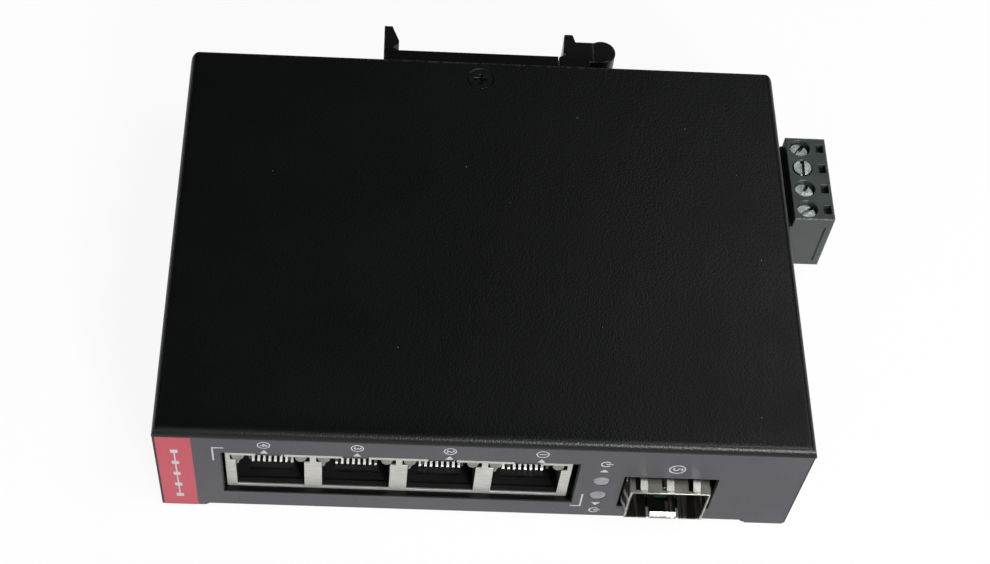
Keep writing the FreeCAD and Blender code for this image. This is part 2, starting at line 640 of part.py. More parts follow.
def make_front_film():
    """Printed film on the panel; its lower edge follows the corner tabs."""
    left, right = "film_margin", "(case_length - film_margin)"
    step_left = "(tab_wide + tab_slant - film_margin)"
    step_right = "(case_length - %s)" % step_left
    low, high = "film_margin", "floor_bend"
    top = "(%s - film_margin / 2)" % PANEL_TOP
    sheet = prism("film_sheet", "XZ", [
        (left, low), ("tab_wide - film_margin", low), (step_left, high), (step_right, high),
        ("case_length - tab_wide + film_margin", low), (right, low), (right, top), (left, top)],
        "-film_thick", "0")
    keep("front_film", cut("film_cut", sheet, panel_cutters("film", "-wall", "wall", "film_clear")))


# Circuit board and what stands on it

def board_post_places():
    left = "(board_edge + post_inset)"
    right = "(%s - post_inset)" % BOARD_RIGHT
    front = "(board_front + post_inset)"
    back = "(%s - post_inset)" % BOARD_BACK
    return [(left, front), (right, front), (left, back), (right, back)]


def pole_row(name, low, high):
    """One box for each wire pole; the corners' middle formulas are offsets from the pole."""
    row = []
    for index, letter in enumerate("abcd"):
        pole = shifted(FIRST_POLE, "pole_pitch", index)
        row.append(block("%s_%s" % (name, letter), (low[0], "%s + (%s)" % (pole, low[1]), low[2]),
                         (high[0], "%s + (%s)" % (pole, high[1]), high[2])))
    return row


def make_board():
    """Circuit board with the slots for the header's pins."""
    left, right = "board_edge", BOARD_RIGHT
    sheet = prism("board_sheet", "XY", [
        (left, "board_front"), (right, "board_front"), (right, BOARD_BACK), (left, BOARD_BACK)],
        BOARD_LOW, BOARD_TOP, {"board_round": (0, 1, 2, 3)})
    half = "(pin_thick / 2 + screw_fit)"
    middle = "(%s - pin_tail + pin_thick / 2)" % HEADER_NEAR
    near, far = around(middle, half)
    slots = pole_row("pin_hole", (near, "-" + half, "%s - wall" % BOARD_LOW), (far, half, "%s + wall" % BOARD_TOP))
    keep("circuit_board", cut("board_cut", sheet, slots))


def make_board_posts():
    """Hexagonal posts that stand on the chassis floor and carry the board."""
    posts = []
    for number, (across, along) in enumerate(board_post_places()):
        post = DOC.addObject("Part::Prism", "post_%d" % number)
        post.Polygon = 6
        bind(post, "Circumradius", "standoff_wide / sqrt(3)")
        bind(post, "Height", "standoff_tall")
        place(post, (across, along, "wall"))
        posts.append(post)
    keep("board_posts", group("post_group", posts))


def make_jack_shield():
    """Formed shield round the port block, open below, with the four port openings."""
    outer = block("shield_outer", (JACK_LEFT, "jack_recess", BOARD_TOP), (JACK_RIGHT, JACK_BACK, JACK_TOP))
    inner = block("shield_inner",
                  (JACK_LEFT + " + shield_wall", "jack_recess + shield_wall", "%s - wall" % BOARD_TOP),
                  (JACK_RIGHT + " - shield_wall", JACK_BACK + " - shield_wall", JACK_TOP + " - shield_wall"))
    a, b = around(FIRST_PORT, "port_wide / 2")
    c, d = around(FIRST_PORT, LAMP_HALF)
    e, f = around(FIRST_PORT, "key_wide / 2")
    over = "(%s + wall)" % JACK_TOP
    openings = prism("port_opening", "XZ", [
        (a, SILL), (b, SILL), (b, LAMP_LOW), (d, LAMP_LOW), (d, LAMP_HIGH), (f, LAMP_HIGH),
        (f, over), (e, over), (e, LAMP_HIGH), (c, LAMP_HIGH), (c, LAMP_LOW), (a, LAMP_LOW)],
        "-wall", "jack_recess + notch_deep", copies=[("H_Axis", "port_pitch", "port_count")])
    keep("jack_shield", cut("shield_cut", outer, [inner, openings]))


def make_jack_housing():
    """Moulded block with a stepped cavity, latch keyway, contact trough and lamp seats."""
    front, back = "(jack_recess + shield_wall)", "(%s - shield_wall)" % JACK_BACK
    top = "(%s - shield_wall)" % JACK_TOP
    body = block("housing_block", (JACK_LEFT + " + shield_wall", front, BOARD_TOP),
                 (JACK_RIGHT + " - shield_wall", back, top))
    a, b = around(FIRST_PORT, "port_wide / 2")
    c, d = around(FIRST_PORT, "key_step_wide / 2")
    e, f = around(FIRST_PORT, "key_wide / 2")
    key_high = "(%s + key_step_tall)" % LAMP_LOW
    row = [("H_Axis", "port_pitch", "port_count")]
    cavity = prism("cavity", "XZ", [
        (a, SILL), (b, SILL), (b, LAMP_LOW), (d, LAMP_LOW), (d, key_high), (f, key_high),
        (f, LAMP_HIGH), (e, LAMP_HIGH), (e, key_high), (c, key_high), (c, LAMP_LOW), (a, LAMP_LOW)],
        "0", CAVITY_BACK, copies=row)
    lip_back = "(jack_recess + cavity_lip_deep)"
    floor = prism("cavity_floor", "XZ", [
        (a, "%s - cavity_lip" % SILL), (b, "%s - cavity_lip" % SILL), (b, SILL), (a, SILL)],
        lip_back, CAVITY_BACK, copies=row)
    g, h = around(FIRST_PORT, "comb_wide / 2")
    trough = prism("trough", "XZ", [(g, TROUGH), (h, TROUGH), (h, SILL), (g, SILL)],
                   "jack_recess + contact_front - 1", CAVITY_BACK, copies=row)
    i, j = around(FIRST_PORT, LAMP_HALF)
    m, n = around(FIRST_PORT, LAMP_HALF + " - lamp_in - lamp_wide - lamp_clear")
    seat = "(jack_recess + lamp_deep)"
    left_seat = prism("left_seat", "XZ", [(i, LENS_LOW), (m, LENS_LOW), (m, LAMP_HIGH), (i, LAMP_HIGH)],
                      "0", seat, copies=row)
    right_seat = prism("right_seat", "XZ", [(n, LENS_LOW), (j, LENS_LOW), (j, LAMP_HIGH), (n, LAMP_HIGH)],
                       "0", seat, copies=row)
    keep("jack_housing", cut("housing_cut", body, [cavity, floor, trough, left_seat, right_seat]))


def make_jack_lamps():
    """Two lamp lenses over each port, their lower corners rounded."""
    front, back = "(jack_recess + shield_wall)", "(jack_recess + lamp_deep)"
    i, j = around(FIRST_PORT, LAMP_HALF + " - lamp_in")
    row = [("H_Axis", "port_pitch", "port_count")]
    lenses = []
    for side, near, far in (("left", i, i + " + lamp_wide"), ("right", j + " - lamp_wide", j)):
        lenses.append(prism("lens_" + side, "XZ", [(near, LENS_LOW), (far, LENS_LOW), (far, LAMP_HIGH), (near, LAMP_HIGH)],
                            front, back, {"lamp_round": (0, 1)}, row))
    keep("jack_lamps", group("lens_group", lenses))


def make_jack_contacts():
    """Sprung contacts: each runs forward in the trough, bends and slopes back up."""
    back = CAVITY_BACK
    bend = "(jack_recess + contact_front)"
    tip = "(jack_recess + contact_tip_deep)"
    low = TROUGH
    rise = "(%s + contact_tip_rise)" % TROUGH
    near, far = around("(%s - contact_pitch * (contact_count - 1) / 2)" % FIRST_PORT, "contact_wide / 2")
    strip = prism("contact", "YZ", [
        (back, low), (bend, low), (bend + " - contact_thick / 2", low + " + contact_thick"),
        (tip + " - contact_thick / 2", rise + " + contact_thick / 2"), (tip, rise),
        (bend + " + contact_thick", low + " + contact_thick"), (back, low + " + contact_thick")],
        near, far, copies=[("N_Axis", "contact_pitch", "contact_count"), ("N_Axis", "port_pitch", "port_count")])
    keep("jack_contacts", group("contact_group", [strip]))


def make_cage():
    """Fibre cage: a box of sheet, open in front, with finger windows and a latch tongue."""
    front = "-cage_proud"
    outer = block("cage_outer", (CAGE_LEFT, front, BOARD_TOP), (CAGE_RIGHT, CAGE_BACK, CAGE_TOP))
    floor_end = "(cage_floor_deep - cage_proud)"
    hollow = block("cage_hollow", (CAGE_LEFT + " + cage_wall", front + " - wall", BOARD_TOP + " + cage_wall"),
                   (CAGE_RIGHT + " - cage_wall", CAGE_BACK + " - cage_wall", CAGE_TOP + " - cage_wall"))
    well = block("cage_well", (CAGE_LEFT + " + cage_wall", floor_end, BOARD_TOP + " - wall"),
                 (CAGE_RIGHT + " - cage_wall", CAGE_BACK + " - cage_wall", BOARD_TOP + " + 2 * cage_wall"))
    tools = [hollow, well] + finger_windows() + tongue_tools()
    shell = cut("cage_cut", outer, tools)
    near, far = around(CAGE_MIDDLE, "latch_tongue_wide / 2")
    lift = "(%s + cage_wall)" % BOARD_TOP
    lip = prism("tongue_lip", "YZ", [
        (front, lift), (front + " + cage_wall", lift),
        (front + " + tongue_lip_deep", lift + " + tongue_lift - cage_wall"),
        (front + " + tongue_lip_deep", lift + " + tongue_lift")], near, far)
    keep("fibre_cage", join("cage_joined", [shell, lip]))


def finger_span():
    """Front and back of a spring finger."""
    start = "(finger_front - cage_proud)"
    return start, "(%s + finger_long)" % start


def finger_windows():
    start, end = finger_span()
    front, back = start + " + window_lap", end + " - window_lap"
    tools = []
    for index in range(3):
        middle = "(%s + finger_pitch * %d)" % (CAGE_MIDDLE, index - 1)
        near, far = middle + " - window_wide + finger_wide / 2", middle + " + finger_wide / 2"
        tools.append(block("top_window_%d" % index, (near, front, CAGE_TOP + " - wall"),
                           (far, back, CAGE_TOP + " + wall")))
    for index in range(2):
        middle = "(%s + cage_tall / 2 + side_finger_pitch * %g)" % (BOARD_TOP, index - 0.5)
        low, high = around(middle, "window_wide / 2")
        tools.append(block("side_window_%d" % index, (CAGE_LEFT + " - wall", front, low),
                           (CAGE_RIGHT + " + wall", back, high)))
    return tools


def tongue_tools():
    """Slots beside the latch tongue and the square hole in it."""
    low, high = BOARD_TOP + " - wall", BOARD_TOP + " + 1.5 * cage_wall"
    near, far = around(CAGE_MIDDLE, "latch_tongue_wide / 2")
    front = "(-cage_proud - wall)"
    end = "(latch_tongue_deep - cage_proud)"
    tools = [block("tongue_slot_left", (near + " - tongue_slot", front, low), (near, end, high)),
             block("tongue_slot_right", (far, front, low), (far + " + tongue_slot", end, high))]
    x_low, x_high = around(CAGE_MIDDLE, "latch_hole / 2")
    tools.append(block("latch_hole", (x_low, end + " - 2 * latch_hole", low), (x_high, end + " - latch_hole", high)))
    return tools


def finger_outline(base, sign):
    """A bowed strip: along the cage first, outward from its sheet second."""
    start, end = finger_span()
    crown_in, crown_out = "(%s + finger_long * 0.35)" % start, "(%s + finger_long * 0.55)" % start
    top = "%s %s finger_rise" % (base, sign)
    thick = "%s finger_thick" % sign
    return [(start, base), (start + " + window_lap", base), (crown_in, top), (crown_out, top),
            (end + " - window_lap", base), (end, base), (end, "%s %s" % (base, thick)),
            (end + " - window_lap", "%s %s" % (base, thick)), (crown_out, "%s %s" % (top, thick)),
            (crown_in, "%s %s" % (top, thick)), (start + " + window_lap", "%s %s" % (base, thick)),
            (start, "%s %s" % (base, thick))]


def make_cage_fingers():
    """Spring fingers that touch the panel round the cage: three above, two on each side."""
    near, far = around("(%s - finger_pitch)" % CAGE_MIDDLE, "finger_wide / 2")
    top = prism("top_finger", "YZ", finger_outline(CAGE_TOP, "+"), near, far)
    fingers = [top]
    for index in (1, 2):
        shift = "finger_pitch * %d" % index
        fingers.append(prism("top_finger_%d" % index, "YZ", finger_outline(CAGE_TOP, "+"),
                             "%s + %s" % (near, shift), "%s + %s" % (far, shift)))
    for index in range(2):
        middle = "(%s + cage_tall / 2 + side_finger_pitch * %g)" % (BOARD_TOP, index - 0.5)
        low, high = around(middle, "finger_wide / 2")
        for side, base, sign in (("left", CAGE_LEFT, "-"), ("right", CAGE_RIGHT, "+")):
            outline = [(outward, along) for along, outward in finger_outline(base, sign)]
            fingers.append(prism("%s_finger_%d" % (side, index), "XY", outline, low, high))
    keep("cage_fingers", group("finger_group", fingers))


def make_fibre_connector():
    """Connector that the module's board edge enters, at the back of the cage."""
    near, far = around(CAGE_MIDDLE, "link_wide / 2")
    body = block("link_block", (near, LINK_FRONT, BOARD_TOP),
                 (far, LINK_FRONT + " + link_deep", BOARD_TOP + " + link_tall"))
    slot_near, slot_far = around(CAGE_MIDDLE, "link_slot_wide / 2")
    low = "(%s + link_slot_rise)" % BOARD_TOP
    slot = block("link_slot", (slot_near, LINK_FRONT + " - wall", low),
                 (slot_far, LINK_FRONT + " + link_deep * 0.6", low + " + link_slot_tall"))
    keep("fibre_connector", cut("link_cut", body, [slot]))


def make_status_lamps():
    """Two round lamps in a two-storey holder, their eased faces in the panel's holes."""
    near, far = around(STATUS_X, "holder_wide / 2")
    back = "(holder_front + holder_deep)"
    body = block("holder_block", (near, "holder_front", BOARD_TOP), (far, back, STATUS_HIGH + " + holder_wide / 2"))
    radius = "status_wide / 2"
    bores, lamps = [], []
    for level, height in (("low", "status_low"), ("high", STATUS_HIGH)):
        bores.append(rod("holder_bore_" + level, radius + " + screw_fit", "status_long - status_proud - holder_front",
                         (STATUS_X, "holder_front", height), "Y"))
        lamps.append(turned("status_lamp_" + level, [
            ("0", "0"), (radius, "0"), (radius, "status_long - status_round"),
            (radius + " - status_round", "status_long"), ("0", "status_long")],
            (STATUS_X, "status_long - status_proud", height), FreeCAD.Rotation(V(1, 0, 0), 90)))
    keep("lamp_holder", cut("holder_cut", body, bores))
    keep("status_lamps", group("status_lamp_group", lamps))


def make_chips():
    """Switch chip with one cut corner, and the two transformers that isolate the ports."""
    a, b = around("chip_x", "chip_wide / 2")
    c, d = around("chip_y", "chip_wide / 2")
    keep("switch_chip", prism("chip", "XY", [
        (a + " + chip_corner", c), (b, c), (b, d), (a, d), (a, c + " + chip_corner")],
        BOARD_TOP, BOARD_TOP + " + chip_tall"))
    blocks = []
    for index in range(2):
        e, f = around(shifted("magnet_x", "magnet_pitch", index), "magnet_long / 2")
        g, h = around("magnet_y", "magnet_deep / 2")
        blocks.append(block("magnet_%d" % index, (e, g, BOARD_TOP), (f, h, BOARD_TOP + " + magnet_tall")))
    keep("isolation_transformers", group("magnet_group", blocks))


def clipped(left, right, front, back, corner):
    """Outline of a rectangle with its four corners clipped."""
    in_left, in_right = "%s + %s" % (left, corner), "%s - %s" % (right, corner)
    in_front, in_back = "%s + %s" % (front, corner), "%s - %s" % (back, corner)
    return [(in_left, front), (in_right, front), (right, in_front), (right, in_back),
            (in_right, back), (in_left, back), (left, in_back), (left, in_front)]


def make_power_parts():
    """Inductor, capacitors, regulator, fuse and crystal, which feed and time the chip."""
    deck = BOARD_TOP
    a, b = around("coil_x", "coil_wide / 2")
    c, d = around("coil_y", "coil_wide / 2")
    keep("power_inductor", prism("coil", "XY", clipped(a, b, c, d, "coil_corner"), deck, deck + " + coil_tall"))
    cans = []
    for index in range(3):
        cans.append(rod("can_%d" % index, "can_wide / 2", "can_tall",
                        ("can_x", shifted("can_y", "can_pitch", index), deck)))
    keep("capacitors", group("can_group", cans))
    e, f = around("crystal_x", "crystal_long / 2")
    g, h = around("crystal_y", "crystal_wide / 2")
    keep("crystal", prism("crystal", "XY", clipped(e, f, g, h, "crystal_corner"), deck, deck + " + crystal_tall"))
    i, j = around("drop_x", "drop_wide / 2")
    k, m = around("drop_y", "drop_wide / 2")
    regulator = block("drop_block", (i, k, deck), (j, m, deck + " + drop_tall"))
    tab = block("drop_tab", (i, m, deck), (j, m + " + 2 * drop_tab", deck + " + drop_tab"))
    keep("voltage_regulator", join("drop_joined", [regulator, tab]))
    p, q = around("fuse_x", "fuse_long / 2")
    r, t = around("fuse_y", "fuse_wide / 2")
    core = block("fuse_core", (p + " + fuse_cap / 2", r + " + fuse_step", deck),
                 (q + " - fuse_cap / 2", t + " - fuse_step", deck + " + fuse_wide - fuse_step"))
    ends = [block("fuse_cap_left", (p, r, deck), (p + " + fuse_cap", t, deck + " + fuse_wide")),
            block("fuse_cap_right", (q + " - fuse_cap", r, deck), (q, t, deck + " + fuse_wide"))]
    keep("fuse", join("fuse_joined", [core] + ends))


# Wire terminals at the right end

def make_header():
    """Open-fronted header on the board, with its bent pins."""
    y_low, y_high = around("pole_middle_y", HEADER_HALF)
    body = block("header_block", (HEADER_NEAR, y_low, BOARD_TOP), (HEADER_FAR, y_high, HEADER_TOP))
    c_low, c_high = around("pole_middle_y", "plug_nose_wide / 2 + plug_slide_gap")
    z_low, z_high = around("pole_level", CAVITY_HALF)
    cavity = block("header_cavity", (HEADER_NEAR + " + header_back", c_low, z_low), (HEADER_FAR + " + wall", c_high, z_high))
    half = "(pin_thick / 2)"
    holes = pole_row("header_hole", (HEADER_NEAR + " - wall", "-" + half, "pole_level - " + half),
                     (HEADER_NEAR + " + 2 * header_back", half, "pole_level + " + half))
    keep("terminal_header", cut("header_cut", body, [cavity] + holes))
    tail = "(%s - pin_tail)" % HEADER_NEAR
    end = "(%s + header_back + pin_reach)" % HEADER_NEAR
    low = "(wall + standoff_tall / 2)"
    outline = [(tail, low), (tail + " + pin_thick", low), (tail + " + pin_thick", "pole_level - " + half),
               (end, "pole_level - " + half), (end, "pole_level + " + half), (tail, "pole_level + " + half)]
    pole_near, pole_far = around(LAST_POLE, half)
    pins = prism("pin", "XZ", outline, pole_near, pole_far, copies=[("N_Axis", "pole_pitch", "pole_count")])
    keep("header_pins", group("pin_group", [pins]))


def make_plug():
    """Pull-off screw plug: nose, clamp chambers, wire entries, screw wells and test slots."""
    y_low, y_high = around("pole_middle_y", "plug_wide / 2")
    back_top = "(plug_near + plug_step)"
    outer = prism("plug_block", "XZ", [
        ("plug_near", "plug_low"), ("plug_far", "plug_low"), ("plug_far", "plug_top"), (back_top, "plug_top"),
        (back_top, "plug_step_height"), ("plug_near", "plug_step_height")], y_low, y_high)
    n_low, n_high = around("pole_middle_y", "plug_nose_wide / 2")
    z_low, z_high = around("pole_level", "plug_nose_tall / 2")
    nose = block("plug_nose", (NOSE_NEAR, n_low, z_low), ("plug_near + wall", n_high, z_high))
    half = "chamber_wide / 2"
    near, far = "(screw_axis_x - chamber_half)", "(screw_axis_x + chamber_half)"
    tools = pole_row("chamber", (near, "-" + half, CHAMBER_LOW), (far, half, CHAMBER_TOP))
    tools += pole_row("entry", (far + " - wall", "-%s" % half, CHAMBER_LOW),
                      ("plug_far + wall", half, CHAMBER_LOW + " + entry_tall"))
    socket_half, socket_rise = "(socket_wide / 2 + socket_gap)", "(socket_tall / 2 + socket_gap)"
    tools += pole_row("channel", (NOSE_NEAR + " - wall", "-" + socket_half, "pole_level - " + socket_rise),
                      (near + " + wall / 2", socket_half, "pole_level + " + socket_rise))
    probe_far = "(plug_far - probe_in)"
    tools += pole_row("probe", (probe_far + " - probe_wide", "-probe_long / 2", "plug_top - probe_deep"),
                      (probe_far, "probe_long / 2", "plug_top + wall"))
    for index, letter in enumerate("abcd"):
        pole = shifted(FIRST_POLE, "pole_pitch", index)
        tools.append(rod("well_" + letter, "well_wide / 2", "plug_top - %s + wall" % WEB_TOP,
                         ("screw_axis_x", pole, WEB_TOP)))
        tools.append(rod("web_hole_" + letter, "screw_thick / 2 + 4 * screw_fit", "2 * well_web + wall",
                         ("screw_axis_x", pole, CHAMBER_TOP + " - well_web / 2")))
    for side, edge in (("front", y_low), ("back", y_high)):
        e_low, e_high = around(edge, "groove_deep")
        tools.append(block("groove_" + side, ("plug_far - groove_in - groove_wide", e_low, "plug_low + groove_low"),
                           ("plug_far - groove_in", e_high, "plug_step_height")))
    keep("terminal_plug", cut("plug_cut", join("plug_joined", [outer, nose]), tools))


def make_plug_contacts():
    """Contact of each pole: a socket for the header's pin and a bar through the clamp."""
    socket_half, socket_rise = "socket_wide / 2", "socket_tall / 2"
    near, far = "(%s + socket_gap)" % NOSE_NEAR, "(%s + socket_gap + socket_long)" % NOSE_NEAR
    sockets = pole_row("socket", (near, "-" + socket_half, "pole_level - " + socket_rise),
                       (far, socket_half, "pole_level + " + socket_rise))
    bar_half = "bar_wide / 2"
    bars = pole_row("bar", (far, "-" + bar_half, "pole_level - bar_thick / 2"),
                    ("screw_axis_x + bar_reach", bar_half, BAR_TOP))
    hole = "socket_hole / 2"
    holes = pole_row("socket_hole", (near + " - wall", "-" + hole, "pole_level - " + hole),
                     (far + " - bar_thick", hole, "pole_level + " + hole))
    pieces = []
    for letter, socket, bar, bore in zip("abcd", sockets, bars, holes):
        pieces.append(cut("contact_cut_" + letter, join("contact_joined_" + letter, [socket, bar]), [bore]))
    keep("plug_contacts", group("plug_contact_group", pieces))


# One screw is backed out nearly flush, as its neighbours are not
SCREW_RAISED = {3: "screw_raised"}
SLOT_TURNS = {1: 35, 2: 60, 3: 88, 4: 55}


def make_clamp_screw(number):
    """Slotted screw of one pole; its shank turns in the clamp and its tip meets the bar."""
    pole = shifted(FIRST_POLE, "pole_pitch", number - 1)
    raised = SCREW_RAISED.get(number, "0")
    shank = "screw_thick / 2"
    low = "(%s + screw_fit + %s)" % (BAR_TOP, raised)
    length = "(%s + screw_fit - %s - screw_fit)" % (WEB_TOP, BAR_TOP)
    head = "(%s + clamp_head_tall)" % length
    screw = turned("clamp_screw_%d" % number, [
        ("0", "0"), (shank, "0"), (shank, length), ("clamp_head / 2", length), ("clamp_head / 2", head),
        ("0", head)], ("screw_axis_x", pole, low))
    slot = DOC.addObject("Part::Box", "driver_slot_%d" % number)
    bind(slot, "Length", "2 * clamp_head")
    bind(slot, "Width", "head_slot_wide")
    bind(slot, "Height", "2 * head_slot_deep")
    turn = FreeCAD.Rotation(V(0, 0, 1), SLOT_TURNS[number])
    slot.Placement = FreeCAD.Placement(V(), turn)
    angle = math.radians(SLOT_TURNS[number])
    place(slot, ("screw_axis_x - clamp_head * %.6f + head_slot_wide / 2 * %.6f" % (math.cos(angle), math.sin(angle)),
                 "%s - clamp_head * %.6f - head_slot_wide / 2 * %.6f" % (pole, math.sin(angle), math.cos(angle)),
                 "%s + %s - head_slot_deep" % (low, head)))
    keep("clamp_screw_%d" % number, cut("clamp_screw_cut_%d" % number, screw, [slot]))


def make_wire_clamp(number):
    """Cage that climbs the screw and presses the wire up against the contact bar."""
    pole = shifted(FIRST_POLE, "pole_pitch", number - 1)
    near, far = around("screw_axis_x", "clamp_long / 2")
    y_low, y_high = around(pole, "clamp_wide / 2")
    floor = "(%s + clamp_floor)" % CLAMP_LOW
    block_low = "(%s + clamp_window)" % floor
    body = block("clamp_body_%d" % number, (near, y_low, CLAMP_LOW), (far, y_high, block_low + " + clamp_block"))
    w_low, w_high = around(pole, "clamp_wide / 2 - clamp_side")
    window = block("clamp_window_%d" % number, (near + " - wall", w_low, floor), (far + " + wall", w_high, block_low))
    bore = rod("clamp_bore_%d" % number, "screw_thick / 2 + screw_fit", "clamp_block + wall",
               ("screw_axis_x", pole, block_low + " - wall / 2"))
    keep("wire_clamp_%d" % number, cut("clamp_cut_%d" % number, body, [window, bore]))


# Rail clip on the back

def clip_screw_places():
    low, high = around(CLIP_MIDDLE, "clip_screw_half")
    return [("clip_screw_left", low), ("clip_screw_right", high)]


def make_clip_base():
    """Clip plate with its fixed hook, the latch channel, the spring post and a foot."""
    nose_x, tip_x = "(clip_left + hook_nose)", "(clip_left + hook_tip)"
    tip = "(%s + hook_rise)" % PLATE
    low, high = around(CLIP_MIDDLE, "clip_wide / 2")
    plate = prism("clip_plate", "XY", [
        ("clip_left", "case_depth"), ("foot_end_x", "case_depth"), ("foot_end_x", "case_depth + foot_thick"),
        ("clip_end_x", "case_depth + foot_thick"), ("clip_end_x", PLATE), (nose_x, PLATE),
        (THROAT_X, PLATE + " + hook_throat_rise"), (nose_x, PLATE + " + hook_lip_rise"),
        (nose_x, PLATE + " + hook_nose_rise"), (tip_x, tip), ("clip_left", tip)], low, high)
    c_low, c_high = around(CLIP_MIDDLE, "channel_wide / 2")
    channel = block("latch_channel", ("channel_left", "case_depth + channel_low", c_low),
                    ("clip_end_x + wall", "case_depth + channel_low + channel_tall", c_high))
    tools = [channel]
    for number, (across, level) in enumerate(clip_screw_places()):
        tools.append(rod("clip_hole_%d" % number, "clip_screw_thick / 2 + screw_fit", "clip_thick + 2 * wall",
                         (across, "case_depth - wall", level), "Y"))
        tools.append(rod("clip_sink_%d" % number, "clip_screw_head / 2 + fold_gap", "clip_screw_sink + wall",
                         (across, CLIP_SEAT, level), "Y"))
    p_low, p_high = around(CLIP_MIDDLE, "post_half")
    post = block("spring_post", ("post_left", "case_depth + channel_low - wall / 2", p_low),
                 ("post_left + post_long", "case_depth + channel_low + channel_tall + wall / 2", p_high))
    keep("clip_base", join("clip_base_joined", [cut("clip_base_cut", plate, tools), post]))


def make_clip_screws():
    """Screws that hold the clip to the back wall."""
    screws = []
    head, shank = "clip_screw_head / 2", "clip_screw_thick / 2"
    length = "(%s - case_depth + wall + clip_screw_past)" % CLIP_SEAT
    total = "(%s + clip_screw_tall)" % length
    for number, (across, level) in enumerate(clip_screw_places()):
        screws.append(turned("clip_screw_%d" % number, [
            ("0", "0"), (shank, "0"), (shank, length), (head, length), (head, total), ("0", total)],
            (across, "case_depth - wall - clip_screw_past", level), FreeCAD.Rotation(V(1, 0, 0), -90)))
    keep("clip_screws", group("clip_screw_group", screws))


def make_latch():
    """Sprung latch: nose over the rail, arm, round pull tab and a slotted tongue."""
    low, high = around(CLIP_MIDDLE, "clip_wide / 2")
    arm_under = "(%s - latch_arm_under)" % PLATE
    arm_over = "(%s + latch_arm_rise)" % PLATE
    tip = "(%s + latch_tip_rise)" % PLATE
    lip_x = "(%s - latch_lip)" % RAIL_END
    heel = "(pull_x - 2 * latch_tip_wide / 1.4)"
    head = prism("latch_head", "XY", [
        (LATCH_LEFT, TONGUE_LOW), (heel, TONGUE_LOW), (heel, arm_under), ("pull_x", arm_under),
        ("pull_x", arm_over), (lip_x + " + latch_tip_wide + 0.9", arm_over), (lip_x + " + latch_tip_wide + 0.4", tip),
        (lip_x + " + 0.35", tip), (lip_x, PLATE + " + latch_lip_rise"), (RAIL_END, PLATE + " + hook_throat_rise"),
        (LATCH_LEFT, PLATE)], low, high)
    tab = rod("pull_tab", "pull_round", "clip_wide", ("pull_x", PLATE + " + latch_arm_rise - 0.1 - pull_round + 0.5", low))
    t_low, t_high = around(CLIP_MIDDLE, "channel_wide / 2 - latch_side_fit")
    tongue = block("latch_tongue", ("tongue_left", TONGUE_LOW, t_low), (LATCH_LEFT + " + wall", TONGUE_HIGH, t_high))
    w_low, w_high = around(CLIP_MIDDLE, "tongue_window_half")
    window = block("tongue_window", ("tongue_left + tongue_bar", TONGUE_LOW + " - wall", w_low),
                   ("post_left + post_long + wall", TONGUE_HIGH + " + wall", w_high))
    keep("rail_latch", cut("latch_cut", join("latch_joined", [head, tab, tongue]), [window]))


def make_latch_spring():
    """Coil spring in the tongue's window, between its cross bar and the fixed post."""
    size = {name: float(SHEET.get(name)) for name in NAMES}
    wire, gap = size["spring_wire"], size["spring_end_gap"]
    radius = (size["spring_wide"] - wire) / 2
    start = size["tongue_left"] + size["tongue_bar"] + gap
    length = size["post_left"] - gap - start - wire
    steps = int(size["spring_turns"] * size["spring_facets"])
    turn = 2 * math.pi / size["spring_facets"]
    path = Part.makePolygon([V(wire / 2 + length * i / steps, radius * math.cos(turn * i), radius * math.sin(turn * i))
                             for i in range(steps + 1)])
    half = wire / 2
    corners = [V(half + x, radius + y, 0) for x, y in ((-half, -half), (half, -half), (half, half), (-half, half))]
    item = DOC.addObject("Part::Feature", "latch_spring_coil")
    item.Shape = Part.Wire(path.Edges).makePipeShell([Part.makePolygon(corners + corners[:1])], True, False, 1)
    place(item, ("tongue_left + tongue_bar + spring_end_gap", "case_depth + channel_low + channel_tall / 2", CLIP_MIDDLE))
    keep("latch_spring", group("latch_spring_group", [item]))


def check_and_write():
    """Stop if any object failed, then write each sub-part's solids."""
    DOC.recompute()
    for item in DOC.Objects:
        if "Invalid" in item.State or "Error" in item.State:
            raise RuntimeError("failed object: %s %s" % (item.Name, item.State))
    for node, item in PARTS:
        if item.Shape.isNull() or not item.Shape.isValid() or not item.Shape.Solids:
            raise RuntimeError("failed shape: " + node)
    os.makedirs("parts", exist_ok=True)
    for node, item in PARTS:
        item.Shape.exportStep(os.path.join("parts", node + ".step"))
        print("%-18s solids %2d  volume %9.2f mm3" % (node, len(item.Shape.Solids), item.Shape.Volume))


make_chassis()
make_cover()
make_cover_screw()
make_front_film()
make_board()
make_board_posts()
make_jack_shield()
make_jack_housing()
make_jack_lamps()
make_jack_contacts()
make_cage()
make_cage_fingers()
make_fibre_connector()
make_status_lamps()
make_chips()
make_power_parts()
make_header()
make_plug()
make_plug_contacts()
for pole_number in range(1, 5):
    make_clamp_screw(pole_number)
    make_wire_clamp(pole_number)
make_clip_base()
make_clip_screws()
make_latch()
make_latch_spring()
check_and_write()
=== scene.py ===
import json
import math
import bmesh
import bpy
from mathutils import Matrix, Vector


